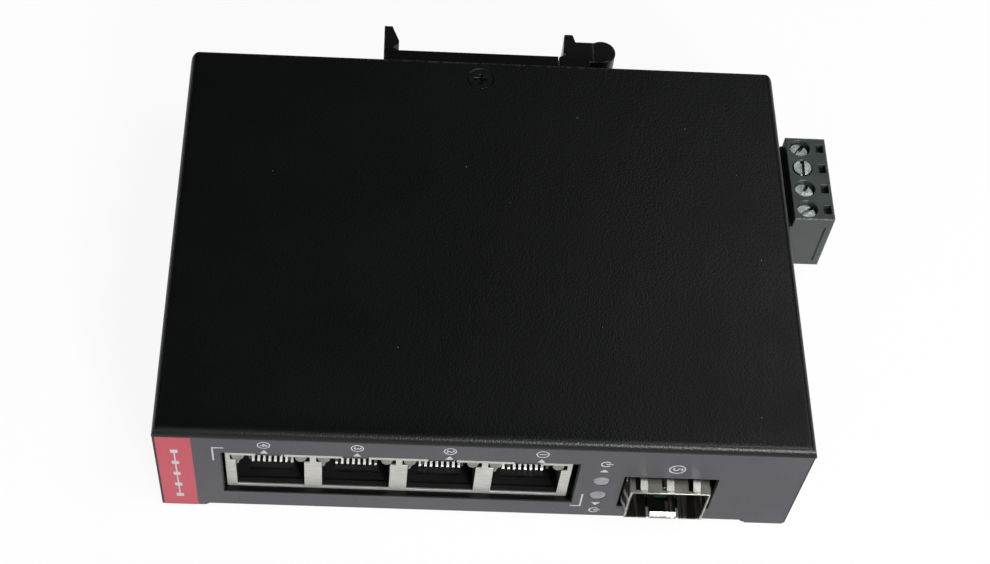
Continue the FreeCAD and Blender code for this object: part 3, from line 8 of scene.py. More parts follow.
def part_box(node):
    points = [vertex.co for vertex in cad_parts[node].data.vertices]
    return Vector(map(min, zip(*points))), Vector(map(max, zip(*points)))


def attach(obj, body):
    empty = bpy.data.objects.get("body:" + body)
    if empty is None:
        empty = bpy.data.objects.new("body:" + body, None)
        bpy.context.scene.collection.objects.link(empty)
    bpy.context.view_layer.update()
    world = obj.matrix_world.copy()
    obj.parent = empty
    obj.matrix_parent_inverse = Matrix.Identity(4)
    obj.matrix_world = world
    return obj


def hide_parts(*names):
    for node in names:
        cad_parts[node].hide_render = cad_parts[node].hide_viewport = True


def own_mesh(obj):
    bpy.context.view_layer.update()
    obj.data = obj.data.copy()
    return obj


# Looks of the rail switch: paint, film and print, plated sheet, mouldings, lamps, light and camera.
#
# The row frame has +X along the ports, +Y towards the rail clip and +Z out of the cover. Lengths are
# in metres where MM stands beside them, and in millimetres in outlines, profiles and finish values.

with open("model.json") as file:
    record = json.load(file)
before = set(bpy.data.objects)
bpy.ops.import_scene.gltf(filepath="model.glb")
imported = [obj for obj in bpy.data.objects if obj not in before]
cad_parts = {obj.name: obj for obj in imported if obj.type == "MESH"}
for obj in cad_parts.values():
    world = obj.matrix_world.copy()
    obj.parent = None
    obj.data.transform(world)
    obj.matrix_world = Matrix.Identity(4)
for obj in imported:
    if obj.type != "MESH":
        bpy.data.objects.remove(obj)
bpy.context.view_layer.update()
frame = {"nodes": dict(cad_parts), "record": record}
MM = 0.001
NODES = frame["nodes"]


# Shader tools

def link_in(tree, socket, value):
    """Feed a socket from another socket, or set it."""
    if isinstance(value, bpy.types.NodeSocket):
        tree.links.new(value, socket)
    else:
        socket.default_value = value


def add(tree, kind, settings=None, **inputs):
    """Add a node; inputs are named by socket, with _ for a space, or by number as i0, i1."""
    item = tree.nodes.new(kind)
    for name, value in (settings or {}).items():
        setattr(item, name, value)
    for name, value in inputs.items():
        number = name[1:] if name[0] == "i" and name[1:].isdigit() else None
        socket = item.inputs[int(number)] if number else item.inputs[name.replace("_", " ")]
        link_in(tree, socket, value)
    return item


def maths(tree, operation, first, second=0.0, third=0.0, clamp=False):
    settings = {"operation": operation, "use_clamp": clamp}
    return add(tree, "ShaderNodeMath", settings, i0=first, i1=second, i2=third).outputs[0]


def blend_colour(tree, share, first, second):
    item = add(tree, "ShaderNodeMix", {"data_type": "RGBA", "blend_type": "MIX", "clamp_factor": True})
    link_in(tree, item.inputs[0], share)
    link_in(tree, item.inputs[6], first)
    link_in(tree, item.inputs[7], second)
    return item.outputs[2]


def span(tree, value, low, high, to_low, to_high):
    """Map a range onto another, with its ends held."""
    item = add(tree, "ShaderNodeMapRange", {"clamp": True}, Value=value,
               From_Min=low, From_Max=high, To_Min=to_low, To_Max=to_high)
    return item.outputs[0]


def parts_of(tree, vector):
    """The X, Y and Z of a vector."""
    return add(tree, "ShaderNodeSeparateXYZ", None, Vector=vector).outputs


def per_size(tree, size):
    """The scale of a pattern whose features have a size in millimetres."""
    return maths(tree, "DIVIDE", 1.0 / MM, size)


def new_group(name, inputs, outputs):
    """An empty shader group with named sockets; returns the tree and its two end nodes."""
    tree = bpy.data.node_groups.new(name, "ShaderNodeTree")
    kinds = {"value": "NodeSocketFloat", "vector": "NodeSocketVector", "colour": "NodeSocketColor"}
    for label, kind, start in inputs:
        socket = tree.interface.new_socket(label, in_out="INPUT", socket_type=kinds[kind])
        if start is not None:
            socket.default_value = start
    for label, kind in outputs:
        tree.interface.new_socket(label, in_out="OUTPUT", socket_type=kinds[kind])
    return tree, tree.nodes.new("NodeGroupInput").outputs, tree.nodes.new("NodeGroupOutput").inputs


def make_patches():
    """Slow uneven patches, as handling and ageing leave them."""
    tree, given, out = new_group("patches", [("Place", "vector", None), ("Size", "value", 8.0)],
                                 [("Mask", "value")])
    cloud = add(tree, "ShaderNodeTexNoise", None, Vector=given["Place"], Scale=per_size(tree, given["Size"]),
                Detail=4.0, Roughness=0.6)
    link_in(tree, out["Mask"], span(tree, cloud.outputs[0], 0.35, 0.65, 0.0, 1.0))
    return tree


def make_grain():
    """Fine pebbled surface: rounded bumps with a finer roughness over them."""
    tree, given, out = new_group("pebble_grain", [("Place", "vector", None), ("Size", "value", 0.3)],
                                 [("Height", "value"), ("Hollows", "value")])
    finer, finer_share = 2.3, 0.35
    scale = per_size(tree, given["Size"])
    bumps = add(tree, "ShaderNodeTexVoronoi", {"feature": "SMOOTH_F1"}, Vector=given["Place"], Scale=scale,
                Smoothness=0.6)
    fine = add(tree, "ShaderNodeTexNoise", None, Vector=given["Place"],
               Scale=maths(tree, "MULTIPLY", scale, finer), Detail=2.0)
    round_height = maths(tree, "SUBTRACT", 1.0, bumps.outputs["Distance"])
    link_in(tree, out["Height"], maths(tree, "MULTIPLY_ADD", fine.outputs[0], finer_share, round_height))
    link_in(tree, out["Hollows"], span(tree, bumps.outputs["Distance"], 0.35, 0.75, 0.0, 1.0))
    return tree


def make_edge_wear():
    """Rubbed paint near the edges of a box, broken up so that it isn't a plain line."""
    tree, given, out = new_group("edge_wear", [
        ("Place", "vector", None), ("Low", "vector", None), ("High", "vector", None),
        ("Reach", "value", 0.6)], [("Mask", "value")])
    place, low, high = [parts_of(tree, given[name]) for name in ("Place", "Low", "High")]
    gaps = []
    for axis in range(3):
        below = maths(tree, "SUBTRACT", place[axis], low[axis])
        above = maths(tree, "SUBTRACT", high[axis], place[axis])
        gaps.append(maths(tree, "ABSOLUTE", maths(tree, "MINIMUM", below, above)))
    pairs = [maths(tree, "MAXIMUM", gaps[a], gaps[b]) for a, b in ((0, 1), (1, 2), (0, 2))]
    nearest = maths(tree, "MINIMUM", pairs[0], maths(tree, "MINIMUM", pairs[1], pairs[2]))
    ragged = add(tree, "ShaderNodeTexNoise", None, Vector=given["Place"], Scale=1.4 / MM, Detail=5.0,
                 Roughness=0.7)
    broken = span(tree, ragged.outputs[0], 0.42, 0.62, 0.0, 1.6)
    reach = maths(tree, "MULTIPLY", maths(tree, "MULTIPLY", given["Reach"], MM), broken)
    least = 0.02 * MM
    share = maths(tree, "DIVIDE", nearest, maths(tree, "ADD", reach, least))
    link_in(tree, out["Mask"], maths(tree, "SUBTRACT", 1.0, share, clamp=True))
    return tree


def make_specks():
    """Sparse light specks of dust and lint."""
    tree, given, out = new_group("dust_specks", [
        ("Place", "vector", None), ("Spacing", "value", 2.0), ("Share", "value", 0.3)],
        [("Mask", "value")])
    speck_radius = 0.06
    cell = add(tree, "ShaderNodeTexVoronoi", {"feature": "F1"}, Vector=given["Place"],
               Scale=per_size(tree, given["Spacing"]))
    draw = add(tree, "ShaderNodeTexWhiteNoise", {"noise_dimensions": "3D"}, Vector=cell.outputs["Position"])
    inside = maths(tree, "LESS_THAN", cell.outputs["Distance"], speck_radius)
    chosen = maths(tree, "LESS_THAN", draw.outputs["Value"], given["Share"])
    link_in(tree, out["Mask"], maths(tree, "MULTIPLY", inside, chosen))
    return tree


def make_painted_inside_shade():
    """Painted shade on the inner faces of a box of sheet, with lighter painted streaks over it that stand for
    reflections.
    """
    tree, given, out = new_group("painted_inside_shade", [
        ("Place", "vector", None), ("Low", "vector", None), ("High", "vector", None),
        ("Sheet", "value", 0.3)], [("Mask", "value"), ("Streaks", "value")])
    place, low, high = [parts_of(tree, given[name]) for name in ("Place", "Low", "High")]
    inset = maths(tree, "MULTIPLY", given["Sheet"], 0.6 * MM)
    mask = 1.0
    for axis in (0, 2):
        above = maths(tree, "GREATER_THAN", place[axis], maths(tree, "ADD", low[axis], inset))
        below = maths(tree, "LESS_THAN", place[axis], maths(tree, "SUBTRACT", high[axis], inset))
        mask = maths(tree, "MULTIPLY", maths(tree, "MULTIPLY", above, below), mask)
    link_in(tree, out["Mask"], mask)
    drawn = add(tree, "ShaderNodeMapping", None, Vector=given["Place"], Scale=(1.0, 0.06, 0.25)).outputs[0]
    reflection_streaks = add(tree, "ShaderNodeTexNoise", None, Vector=drawn, Scale=0.9 / MM, Detail=2.0, Roughness=0.5)
    link_in(tree, out["Streaks"], span(tree, reflection_streaks.outputs[0], 0.54, 0.64, 0.0, 1.0))
    return tree


PATCHES, GRAIN, EDGE_WEAR, SPECKS = make_patches(), make_grain(), make_edge_wear(), make_specks()
PAINTED_INSIDE_SHADE = make_painted_inside_shade()

# How strongly each effect shows in every finish
# Painted shade in the hollows of the grain, and rougher hollows
HOLLOW_PAINTED_SHADE, HOLLOW_SHARE, HOLLOW_ROUGH = 0.6, 0.35, 0.4
WORN_ROUGH = -0.12
# Painted shade inside a box of sheet, and its lighter painted reflection streaks
INSIDE_PAINTED_SHADE, INSIDE_PAINTED_STREAK = 0.16, 0.9
DUST_TINT, DUST_SHARE, DUST_SPACING = (0.4, 0.4, 0.38, 1), 0.35, 1.7


def use(tree, group, **inputs):
    """Place a shader group in a material with its own values."""
    item = tree.nodes.new("ShaderNodeGroup")
    item.node_tree = group
    for name, value in inputs.items():
        link_in(tree, item.inputs[name], value)
    return item.outputs


def scaled(colour, factor):
    return tuple(factor * part for part in colour) + (1,)


def finish_of(name, colour, shade, rough, patch=8.0, shade_share=0.6, grain=0.3, depth=0.01, metal=0.0,
              gloss=0.5, brushed=None, wear=None, worn=(0.1, 0.1, 0.1, 1), reach=0.6, dust=0.0,
              inside=None):
    """One finish: a colour that drifts to a shade in patches, a grain with its depth in
    millimetres and painted shade in its hollows, a range of roughness, and worn edges, dust or a
    painted shade inside with painted reflection streaks, where it has them."""
    material = bpy.data.materials.new(name)
    material.use_nodes = True
    tree = material.node_tree
    surface = tree.nodes["Principled BSDF"]
    place = add(tree, "ShaderNodeTexCoord").outputs["Object"]
    grain_place = place
    if brushed:
        grain_place = add(tree, "ShaderNodeMapping", None, Vector=place, Scale=brushed).outputs[0]
    slow = use(tree, PATCHES, Place=place, Size=patch)["Mask"]
    fine = use(tree, GRAIN, Place=grain_place, Size=grain)
    tint = blend_colour(tree, maths(tree, "MULTIPLY", slow, shade_share), colour + (1,), shade + (1,))
    # Painted shade in the hollows of the grain
    hollow_shade = maths(tree, "MULTIPLY", fine["Hollows"], HOLLOW_SHARE)
    tint = blend_colour(tree, hollow_shade, tint, scaled(shade, HOLLOW_PAINTED_SHADE))
    uneven = maths(tree, "MULTIPLY_ADD", fine["Hollows"], HOLLOW_ROUGH, slow)
    roughness = span(tree, uneven, 0.0, 1.0 + HOLLOW_ROUGH, rough[0], rough[1])
    if wear:
        low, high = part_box(wear)
        mask = use(tree, EDGE_WEAR, Place=place, Low=tuple(low), High=tuple(high), Reach=reach)["Mask"]
        tint = blend_colour(tree, mask, tint, worn)
        roughness = maths(tree, "MULTIPLY_ADD", mask, WORN_ROUGH, roughness)
    # Painted shade on the inner faces of the box, with lighter painted reflection streaks
    if inside:
        low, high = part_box(inside)
        inside_shade = use(tree, PAINTED_INSIDE_SHADE, Place=place, Low=tuple(low), High=tuple(high))
        inside_shade_tint = blend_colour(tree, inside_shade["Streaks"], scaled(shade, INSIDE_PAINTED_SHADE), scaled(shade, INSIDE_PAINTED_STREAK))
        tint = blend_colour(tree, inside_shade["Mask"], tint, inside_shade_tint)
    if dust:
        specks = use(tree, SPECKS, Place=place, Spacing=DUST_SPACING, Share=dust)["Mask"]
        tint = blend_colour(tree, maths(tree, "MULTIPLY", specks, DUST_SHARE), tint, DUST_TINT)
    link_in(tree, surface.inputs["Base Color"], tint)
    link_in(tree, surface.inputs["Roughness"], roughness)
    surface.inputs["Metallic"].default_value = metal
    surface.inputs["Specular IOR Level"].default_value = gloss
    bump = add(tree, "ShaderNodeBump", None, Height=fine["Height"], Distance=depth * MM, Strength=1.0)
    link_in(tree, surface.inputs["Normal"], bump.outputs[0])
    return material


# Finishes of this switch
PAINT = finish_of(
    "powder_coat", (0.0022, 0.0030, 0.0024), (0.0016, 0.0023, 0.0018), (0.35, 0.44), patch=22,
    grain=0.34, depth=0.026, gloss=0.24, wear="cover", worn=(0.03, 0.031, 0.029, 1), reach=0.4, dust=0.03)
FILM = finish_of(
    "grey_film", (0.051, 0.050, 0.0565), (0.043, 0.042, 0.0485), (0.36, 0.48), patch=30, grain=0.16,
    depth=0.004, gloss=0.25, dust=0.03)
RED = finish_of(
    "red_film", (0.375, 0.046, 0.066), (0.32, 0.041, 0.058), (0.36, 0.48), patch=20, grain=0.16,
    depth=0.004, gloss=0.35)
WHITE_INK = finish_of(
    "white_ink", (0.42, 0.42, 0.43), (0.34, 0.34, 0.35), (0.5, 0.62), patch=3, grain=0.1, depth=0.003)
SHIELD = finish_of(
    "tinned_sheet", (0.48, 0.475, 0.445), (0.41, 0.405, 0.375), (0.42, 0.56), patch=5, shade_share=0.7,
    grain=0.25, depth=0.003, metal=0.55, brushed=(0.12, 1.0, 1.0))
# The cage's inner faces take a painted shade with painted reflection streaks
CAGE = finish_of(
    "nickel_sheet", (0.56, 0.54, 0.49), (0.46, 0.44, 0.39), (0.30, 0.46), patch=6, grain=0.22,
    depth=0.0025, metal=1.0, brushed=(1.0, 0.12, 1.0), inside="fibre_cage")
FINGERS = finish_of(
    "spring_strip", (0.46, 0.45, 0.42), (0.36, 0.35, 0.32), (0.34, 0.48), patch=2, grain=0.2,
    depth=0.002, metal=1.0, brushed=(1.0, 0.1, 1.0))
CONTACT = finish_of(
    "gold_flash", (0.92, 0.82, 0.60), (0.86, 0.84, 0.80), (0.28, 0.42), patch=2.5, grain=0.2,
    depth=0.002, metal=1.0)
TIN_FLASH = finish_of(
    "tin_flash", (0.95, 0.94, 0.90), (0.88, 0.87, 0.82), (0.22, 0.34), patch=2.5, grain=0.2,
    depth=0.002, metal=0.3, gloss=0.9)
BLACK = finish_of(
    "black_moulding", (0.007, 0.007, 0.0075), (0.011, 0.011, 0.0115), (0.38, 0.55), patch=6,
    grain=0.22, depth=0.008)
CLIP = finish_of(
    "clip_moulding", (0.0060, 0.0068, 0.0060), (0.0044, 0.0050, 0.0044), (0.22, 0.34), patch=9,
    grain=0.35, depth=0.01, gloss=0.22, wear="clip_base", worn=(0.04, 0.04, 0.04, 1), reach=0.3)
TERMINAL = finish_of(
    "terminal_moulding", (0.026, 0.035, 0.033), (0.019, 0.027, 0.026), (0.36, 0.50), patch=7,
    grain=0.25, depth=0.008, gloss=0.6, wear="terminal_plug", worn=(0.12, 0.13, 0.125, 1), reach=0.35)
ZINC = finish_of(
    "zinc_plate", (0.42, 0.46, 0.44), (0.24, 0.27, 0.255), (0.24, 0.40), patch=1.3, shade_share=0.8,
    grain=0.2, depth=0.006, metal=1.0)
BLACK_STEEL = finish_of(
    "blackened_steel", (0.004, 0.005, 0.004), (0.008, 0.009, 0.008), (0.22, 0.34), patch=1.5,
    grain=0.18, depth=0.004, gloss=0.3)
BOARD = finish_of(
    "solder_mask", (0.010, 0.075, 0.028), (0.008, 0.058, 0.022), (0.25, 0.38), patch=12, grain=0.5,
    depth=0.004)
RESIN = finish_of(
    "chip_resin", (0.014, 0.014, 0.015), (0.022, 0.022, 0.023), (0.45, 0.6), patch=4, grain=0.15,
    depth=0.006)
CAN = finish_of(
    "aluminium_can", (0.78, 0.78, 0.79), (0.66, 0.66, 0.67), (0.25, 0.4), patch=4, grain=0.3,
    depth=0.003, metal=1.0)
CERAMIC = finish_of(
    "fuse_tube", (0.70, 0.69, 0.65), (0.62, 0.61, 0.56), (0.3, 0.42), patch=3, grain=0.3, depth=0.004)
FERRITE = finish_of(
    "ferrite", (0.05, 0.05, 0.054), (0.035, 0.035, 0.038), (0.5, 0.65), patch=4, grain=0.2, depth=0.01)
LENS = finish_of(
    "port_lens", (0.155, 0.158, 0.122), (0.10, 0.103, 0.08), (0.3, 0.45), patch=1.5, grain=0.3,
    depth=0.004)
STATUS = finish_of(
    "status_lens", (0.20, 0.20, 0.215), (0.15, 0.15, 0.16), (0.4, 0.55), patch=1.2, grain=0.25,
    depth=0.003)


def handled_front(material, back, front, share):
    """Smoother paint towards the front fold, where the case is held."""
    tree = material.node_tree
    rough = tree.nodes["Principled BSDF"].inputs["Roughness"]
    along = parts_of(tree, add(tree, "ShaderNodeTexCoord").outputs["Object"])["Y"]
    less = span(tree, along, front, back, share, 1.0)
    link_in(tree, rough, maths(tree, "MULTIPLY", rough.links[0].from_socket, less))


def cloudy(material):
    """Let a lens scatter a little light inside."""
    resin = material.node_tree.nodes["Principled BSDF"]
    resin.inputs["Subsurface Weight"].default_value = 0.25
    resin.inputs["Subsurface Radius"].default_value = (0.6 * MM, 0.7 * MM, 0.6 * MM)
    resin.inputs["Subsurface Scale"].default_value = 1.0


COVER_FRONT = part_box("cover")[0].y
handled_front(PAINT, back=COVER_FRONT + 6 * MM, front=COVER_FRONT + 1.6 * MM, share=0.85)
cloudy(LENS)
cloudy(STATUS)


# Mesh tools

def mesh_from(work, name):
    """Turn the faces outwards and keep the work as a mesh."""
    bmesh.ops.recalc_face_normals(work, faces=work.faces)
    mesh = bpy.data.meshes.new(name)
    work.to_mesh(mesh)
    work.free()
    return mesh


def turned(name, profile, middle, count=24):
    """A round solid about an axis along Y: its profile holds radius and place along Y in millimetres."""
    work = bmesh.new()
    rings = []
    for radius, along in profile:
        ring = []
        for i in range(count if radius else 1):
            angle = 2 * math.pi * i / count
            across = middle[0] + radius * MM * math.cos(angle)
            up = middle[1] + radius * MM * math.sin(angle)
            ring.append(work.verts.new((across, along * MM, up)))
        rings.append(ring)
    for first, second in zip(rings, rings[1:]):
        for i in range(count):
            after = (i + 1) % count
            corners = [first[i % len(first)], first[after % len(first)],
                       second[after % len(second)], second[i % len(second)]]
            work.faces.new(list(dict.fromkeys(corners)))
    return mesh_from(work, name)


def slab(name, outlines, low, high, axis=1):
    """Closed flat pieces: each outline holds two lengths in metres, raised along an axis."""
    work = bmesh.new()
    for outline in outlines:
        rims = []
        for level in (low, high):
            corners = []
            for first, second in outline:
                place = [first, second]
                place.insert(axis, level)
                corners.append(work.verts.new(place))
            rims.append(corners)
        work.faces.new(rims[0])
        work.faces.new(list(reversed(rims[1])))
        count = len(outline)
        for i in range(count):
            after = (i + 1) % count
            work.faces.new((rims[0][i], rims[1][i], rims[1][after], rims[0][after]))
    return mesh_from(work, name)


def new_piece(name, mesh, material, body, stands_for=()):
    """Put a finished mesh in the scene, on its body, for the solids that it stands for."""
    piece = bpy.data.objects.new(name, mesh)
    bpy.context.scene.collection.objects.link(piece)
    if material:
        mesh.materials.clear()
        mesh.materials.append(material)
    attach(piece, body)
    if stands_for:
        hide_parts(*stands_for)
    return piece


def body_holding(node):
    bodies = frame["record"]["behaviour"]["bodies"]
    return [name for name, members in bodies.items() if node in members][0]


SHARP = math.radians(36)


def eased(piece, width, segments=2):
    """Ease the sharp edges of a piece so that they catch the light, and smooth its rounds."""
    if width:
        bevel = piece.modifiers.new("eased_edges", "BEVEL")
        bevel.width = width * MM
        bevel.segments = segments
        bevel.limit_method = "ANGLE"
        bevel.angle_limit = SHARP
        bevel.harden_normals = False
    for face in piece.data.polygons:
        face.use_smooth = True
    piece.data.set_sharp_from_angle(angle=SHARP)
    weighted = piece.modifiers.new("flat_faces", "WEIGHTED_NORMAL")
    weighted.keep_sharp = True
    return piece


def joined_copy(node):
    """A copy of a solid's mesh with its loose triangles joined and its flats made whole."""
    mesh = NODES[node].data.copy()
    mesh.name = "joined_" + node
    work = bmesh.new()
    work.from_mesh(mesh)
    bmesh.ops.remove_doubles(work, verts=work.verts, dist=0.0005 * MM)
    bmesh.ops.dissolve_limit(work, angle_limit=math.radians(0.4), verts=work.verts, edges=work.edges)
    work.to_mesh(mesh)
    work.free()
    return mesh


def dressed(node, name, material, width, segments=2):
    """The solid itself with eased edges and its finish."""
    mesh = joined_copy(node)
    piece = new_piece(name, mesh, material, body_holding(node), (node,))
    return eased(piece, width, segments)


def painted(node, material):
    """A solid that stays as it is and only takes its finish."""
    for slot in NODES[node].material_slots:
        slot.material = material


def shifted(piece, chosen, move):
    """Move the points that a test picks out, by millimetres."""
    for point in piece.data.vertices:
        if chosen(point.co):
            point.co += Vector(move) * MM
    return piece


# Geometry tools

def new_growth(name, inputs):
    """An empty geometry tree with named inputs, a mesh in and a mesh out."""
    tree = bpy.data.node_groups.new(name, "GeometryNodeTree")
    kinds = {"length": "NodeSocketFloat", "count": "NodeSocketInt", "step": "NodeSocketVector",
             "finish": "NodeSocketMaterial"}
    tree.interface.new_socket("Path", in_out="INPUT", socket_type="NodeSocketGeometry")
    for label, kind in inputs:
        tree.interface.new_socket(label, in_out="INPUT", socket_type=kinds[kind])
    tree.interface.new_socket("Mesh", in_out="OUTPUT", socket_type="NodeSocketGeometry")
    return tree, tree.nodes.new("NodeGroupInput").outputs, tree.nodes.new("NodeGroupOutput").inputs


def grow(tree, kind, settings=None, **inputs):
    return add(tree, kind, settings, **inputs).outputs[0]


def give_mesh(tree, given, out, shape):
    """End a tree: the shape with its finish set."""
    finished = grow(tree, "GeometryNodeSetMaterial", None, Geometry=shape, Material=given["Finish"])
    link_in(tree, out["Mesh"], finished)
    return tree


def row_of(tree, shape, count, step):
    """Copies of a shape along a step, made real."""
    points = grow(tree, "GeometryNodeMeshLine", None, Count=count, Offset=step)
    copies = grow(tree, "GeometryNodeInstanceOnPoints", None, Points=points, Instance=shape)
    return grow(tree, "GeometryNodeRealizeInstances", None, Geometry=copies)


ROW_INPUTS = [("Count", "count"), ("Step", "step"), ("Groups", "count"), ("Group step", "step"),
              ("Finish", "finish")]


def grid_of(tree, given, shape):
    """Copies of a shape, once along each of two steps."""
    row = row_of(tree, shape, given["Count"], given["Step"])
    return row_of(tree, row, given["Groups"], given["Group step"])


def make_strip_tree():
    """Bent strips in rows: a path with rounded bends, swept with a flat section."""
    tree, given, out = new_growth("bent_strips", [
        ("Width", "length"), ("Thickness", "length"), ("Bend", "length")] + ROW_INPUTS)
    path = grow(tree, "GeometryNodeMeshToCurve", None, Mesh=given["Path"])
    path = grow(tree, "GeometryNodeFilletCurve", {"mode": "POLY"}, Curve=path, Radius=given["Bend"],
                Count=4, Limit_Radius=True)
    path = grow(tree, "GeometryNodeSetCurveNormal", {"mode": "Z_UP"}, Curve=path)
    section = grow(tree, "GeometryNodeCurvePrimitiveQuadrilateral", None, Width=given["Width"],
                   Height=given["Thickness"])
    strip = grow(tree, "GeometryNodeCurveToMesh", None, Curve=path, Profile_Curve=section, Fill_Caps=True)
    return give_mesh(tree, given, out, grid_of(tree, given, strip))


def make_coil_tree():
    """A coil spring of round wire along +X."""
    tree, given, out = new_growth("coil_spring", [
        ("Radius", "length"), ("Wire", "length"), ("Length", "length"), ("Turns", "length"),
        ("Start", "step"), ("Finish", "finish")])
    centre = grow(tree, "GeometryNodeCurveSpiral", None, Resolution=22, Rotations=given["Turns"],
                  Start_Radius=given["Radius"], End_Radius=given["Radius"], Height=given["Length"])
    wire = grow(tree, "GeometryNodeCurvePrimitiveCircle", {"mode": "RADIUS"}, Resolution=10,
                Radius=given["Wire"])
    coil = grow(tree, "GeometryNodeCurveToMesh", None, Curve=centre, Profile_Curve=wire, Fill_Caps=True)
    laid = grow(tree, "GeometryNodeTransform", None, Geometry=coil, Translation=given["Start"],
                Rotation=(0, math.pi / 2, 0))
    return give_mesh(tree, given, out, laid)


def make_row_tree():
    """Copies of the mesh it is given, in rows."""
    tree, given, out = new_growth("rows_of_one", ROW_INPUTS)
    return give_mesh(tree, given, out, grid_of(tree, given, given["Path"]))


STRIPS, COIL, ROWS = make_strip_tree(), make_coil_tree(), make_row_tree()


def grown(name, start, tree, values):
    """Run a geometry tree on a mesh and keep the result as a plain mesh."""
    seed = bpy.data.objects.new(name + "_seed", start)
    bpy.context.scene.collection.objects.link(seed)
    growth = seed.modifiers.new("growth", "NODES")
    growth.node_group = tree
    for socket in tree.interface.items_tree:
        if socket.item_type == "SOCKET" and socket.in_out == "INPUT" and socket.name in values:
            growth[socket.identifier] = values[socket.name]
    result = bpy.data.meshes.new_from_object(seed.evaluated_get(bpy.context.evaluated_depsgraph_get()))
    result.name = name
    result.materials.clear()
    result.materials.append(values["Finish"])
    for face in result.polygons:
        face.material_index = 0
    bpy.data.objects.remove(seed)
    return result


def path_mesh(name, points):
    mesh = bpy.data.meshes.new(name)
    mesh.from_pydata([tuple(p) for p in points], [(i, i + 1) for i in range(len(points) - 1)], [])
    return mesh


# Places that several pieces read, from the solids
SHIELD_LOW, SHIELD_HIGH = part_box("jack_shield")
FILM_LOW, FILM_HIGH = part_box("front_film")
CAGE_LOW, CAGE_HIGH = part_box("fibre_cage")
PANEL_LEFT, PANEL_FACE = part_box("chassis")[0].xy
PORTS = 4
PORT_PITCH = 15.24 * MM
FIRST_PORT = (SHIELD_LOW.x + SHIELD_HIGH.x) / 2 - PORT_PITCH * (PORTS - 1) / 2


def raised_edge(piece, above, rise):
    """Raise the upper edge of the panel or its film, so that only a fine seam stays under the fold."""
    reach = PANEL_FACE + 1.3 * MM
    return shifted(piece, lambda at: at.y < reach and at.z > above * MM, (0, 0, rise))


def dress_case():
    dressed("cover", "painted_cover", PAINT, 0.12)
    raised_edge(dressed("chassis", "painted_chassis", PAINT, 0.12), above=24.7, rise=0.5)
    dressed("cover_screw", "cover_screw_head", BLACK_STEEL, 0.1)
    film = raised_edge(dressed("front_film", "panel_film", FILM, 0.05, 1), above=24.5, rise=0.66)
    # The lower edge comes down between the feet and at the right one; the left foot stays
    lower, left_foot = FILM_LOW.z + 1.2 * MM, PANEL_LEFT + 8 * MM
    shifted(film, lambda at: at.z < lower and at.x > left_foot, (0, 0, -0.4))


dress_case()


# Front of a port, in millimetres from its middle and from the frame's floor
LENSES_ACROSS = ((-6.85, -4.55), (4.4, 6.5))
LENS_TOP, LENS_RIM, LENS_DROP = 17.75, 16.7, 1.55
LENS_LEG = ((-6.0, 15.6), (-5.2, 15.6), (-5.6, 13.9), (-6.0, 13.9))
OPENING_TOP, BROW_DROP = 17.9, 0.6
NOTCH_NEAR, NOTCH_FAR, NOTCH_LOW, NOTCH_HIGH = -2.45, 2.05, 17.3, 18.65
WAYS, WAY_PITCH = 8, 1.016 * MM


def port_middle(port):
    return FIRST_PORT + PORT_PITCH * port


def placed(outline, middle):
    """An outline in millimetres off a middle, in metres."""
    return [(middle + x * MM, z * MM) for x, z in outline]


def lens_outline(near, far):
    """A port lens from the front: flat on top, its lower side a half ellipse."""
    middle, half = (near + far) / 2, (far - near) / 2
    angles = [math.pi * i / 10 for i in range(10, -1, -1)]
    lower = [(middle + half * math.cos(angle), LENS_RIM - LENS_DROP * math.sin(angle)) for angle in angles]
    return [(near, LENS_TOP)] + lower + [(far, LENS_TOP)]


def lower_brows(shield):
    """Bring down the upper edge of each opening, so that a strip of shield shows under the film."""
    reach, level = SHIELD_LOW.y + 0.4 * MM, OPENING_TOP * MM
    shifted(shield, lambda at: at.y < reach and abs(at.z - level) < 0.12 * MM, (0, 0, -BROW_DROP))


def make_brows():
    """The block's black front in the notch over the contacts of each port."""
    notch = [(NOTCH_NEAR, NOTCH_LOW), (NOTCH_FAR, NOTCH_LOW), (NOTCH_FAR, NOTCH_HIGH), (NOTCH_NEAR, NOTCH_HIGH)]
    brows = [placed(notch, port_middle(port)) for port in range(PORTS)]
    mesh = slab("port_brows", brows, SHIELD_LOW.y + 0.1 * MM, SHIELD_LOW.y + 0.35 * MM)
    eased(new_piece("port_brows", mesh, BLACK, "case"), 0.04, 1)


def make_port_lamps():
    outlines = []
    for port in range(PORTS):
        for near, far in LENSES_ACROSS:
            outlines.append(placed(lens_outline(near, far), port_middle(port)))
        outlines.append(placed(LENS_LEG, port_middle(port)))
    low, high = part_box("jack_lamps")
    mesh = slab("port_lamps", outlines, low.y - 0.1 * MM, high.y)
    eased(new_piece("port_lamps", mesh, LENS, "case", ("jack_lamps",)), 0.1)


def make_contacts():
    """Sprung contacts: from the back along the block's floor, round a bend and up into the opening."""
    low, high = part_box("jack_contacts")
    across = FIRST_PORT - WAY_PITCH * (WAYS - 1) / 2
    thick = 0.3 * MM
    bend = (across, low.y - 0.85 * MM, low.z + 0.3 * MM)
    tip = (across, high.y - 1.8 * MM, high.z - thick / 2)
    path = path_mesh("contact_path", [(across, high.y, low.z + thick / 2), bend, tip])
    mesh = grown("sprung_contacts", path, STRIPS, {
        "Width": 0.45 * MM, "Thickness": thick, "Bend": 0.4 * MM, "Count": WAYS, "Step": (WAY_PITCH, 0, 0),
        "Groups": PORTS, "Group step": (PORT_PITCH, 0, 0), "Finish": TIN_FLASH})
    eased(new_piece("sprung_contacts", mesh, None, "case", ("jack_contacts",)), 0.0)


def dress_ports():
    lower_brows(dressed("jack_shield", "port_shield", SHIELD, 0.06))
    make_brows()
    dressed("jack_housing", "port_block", BLACK, 0.08)
    make_port_lamps()
    make_contacts()


dress_ports()


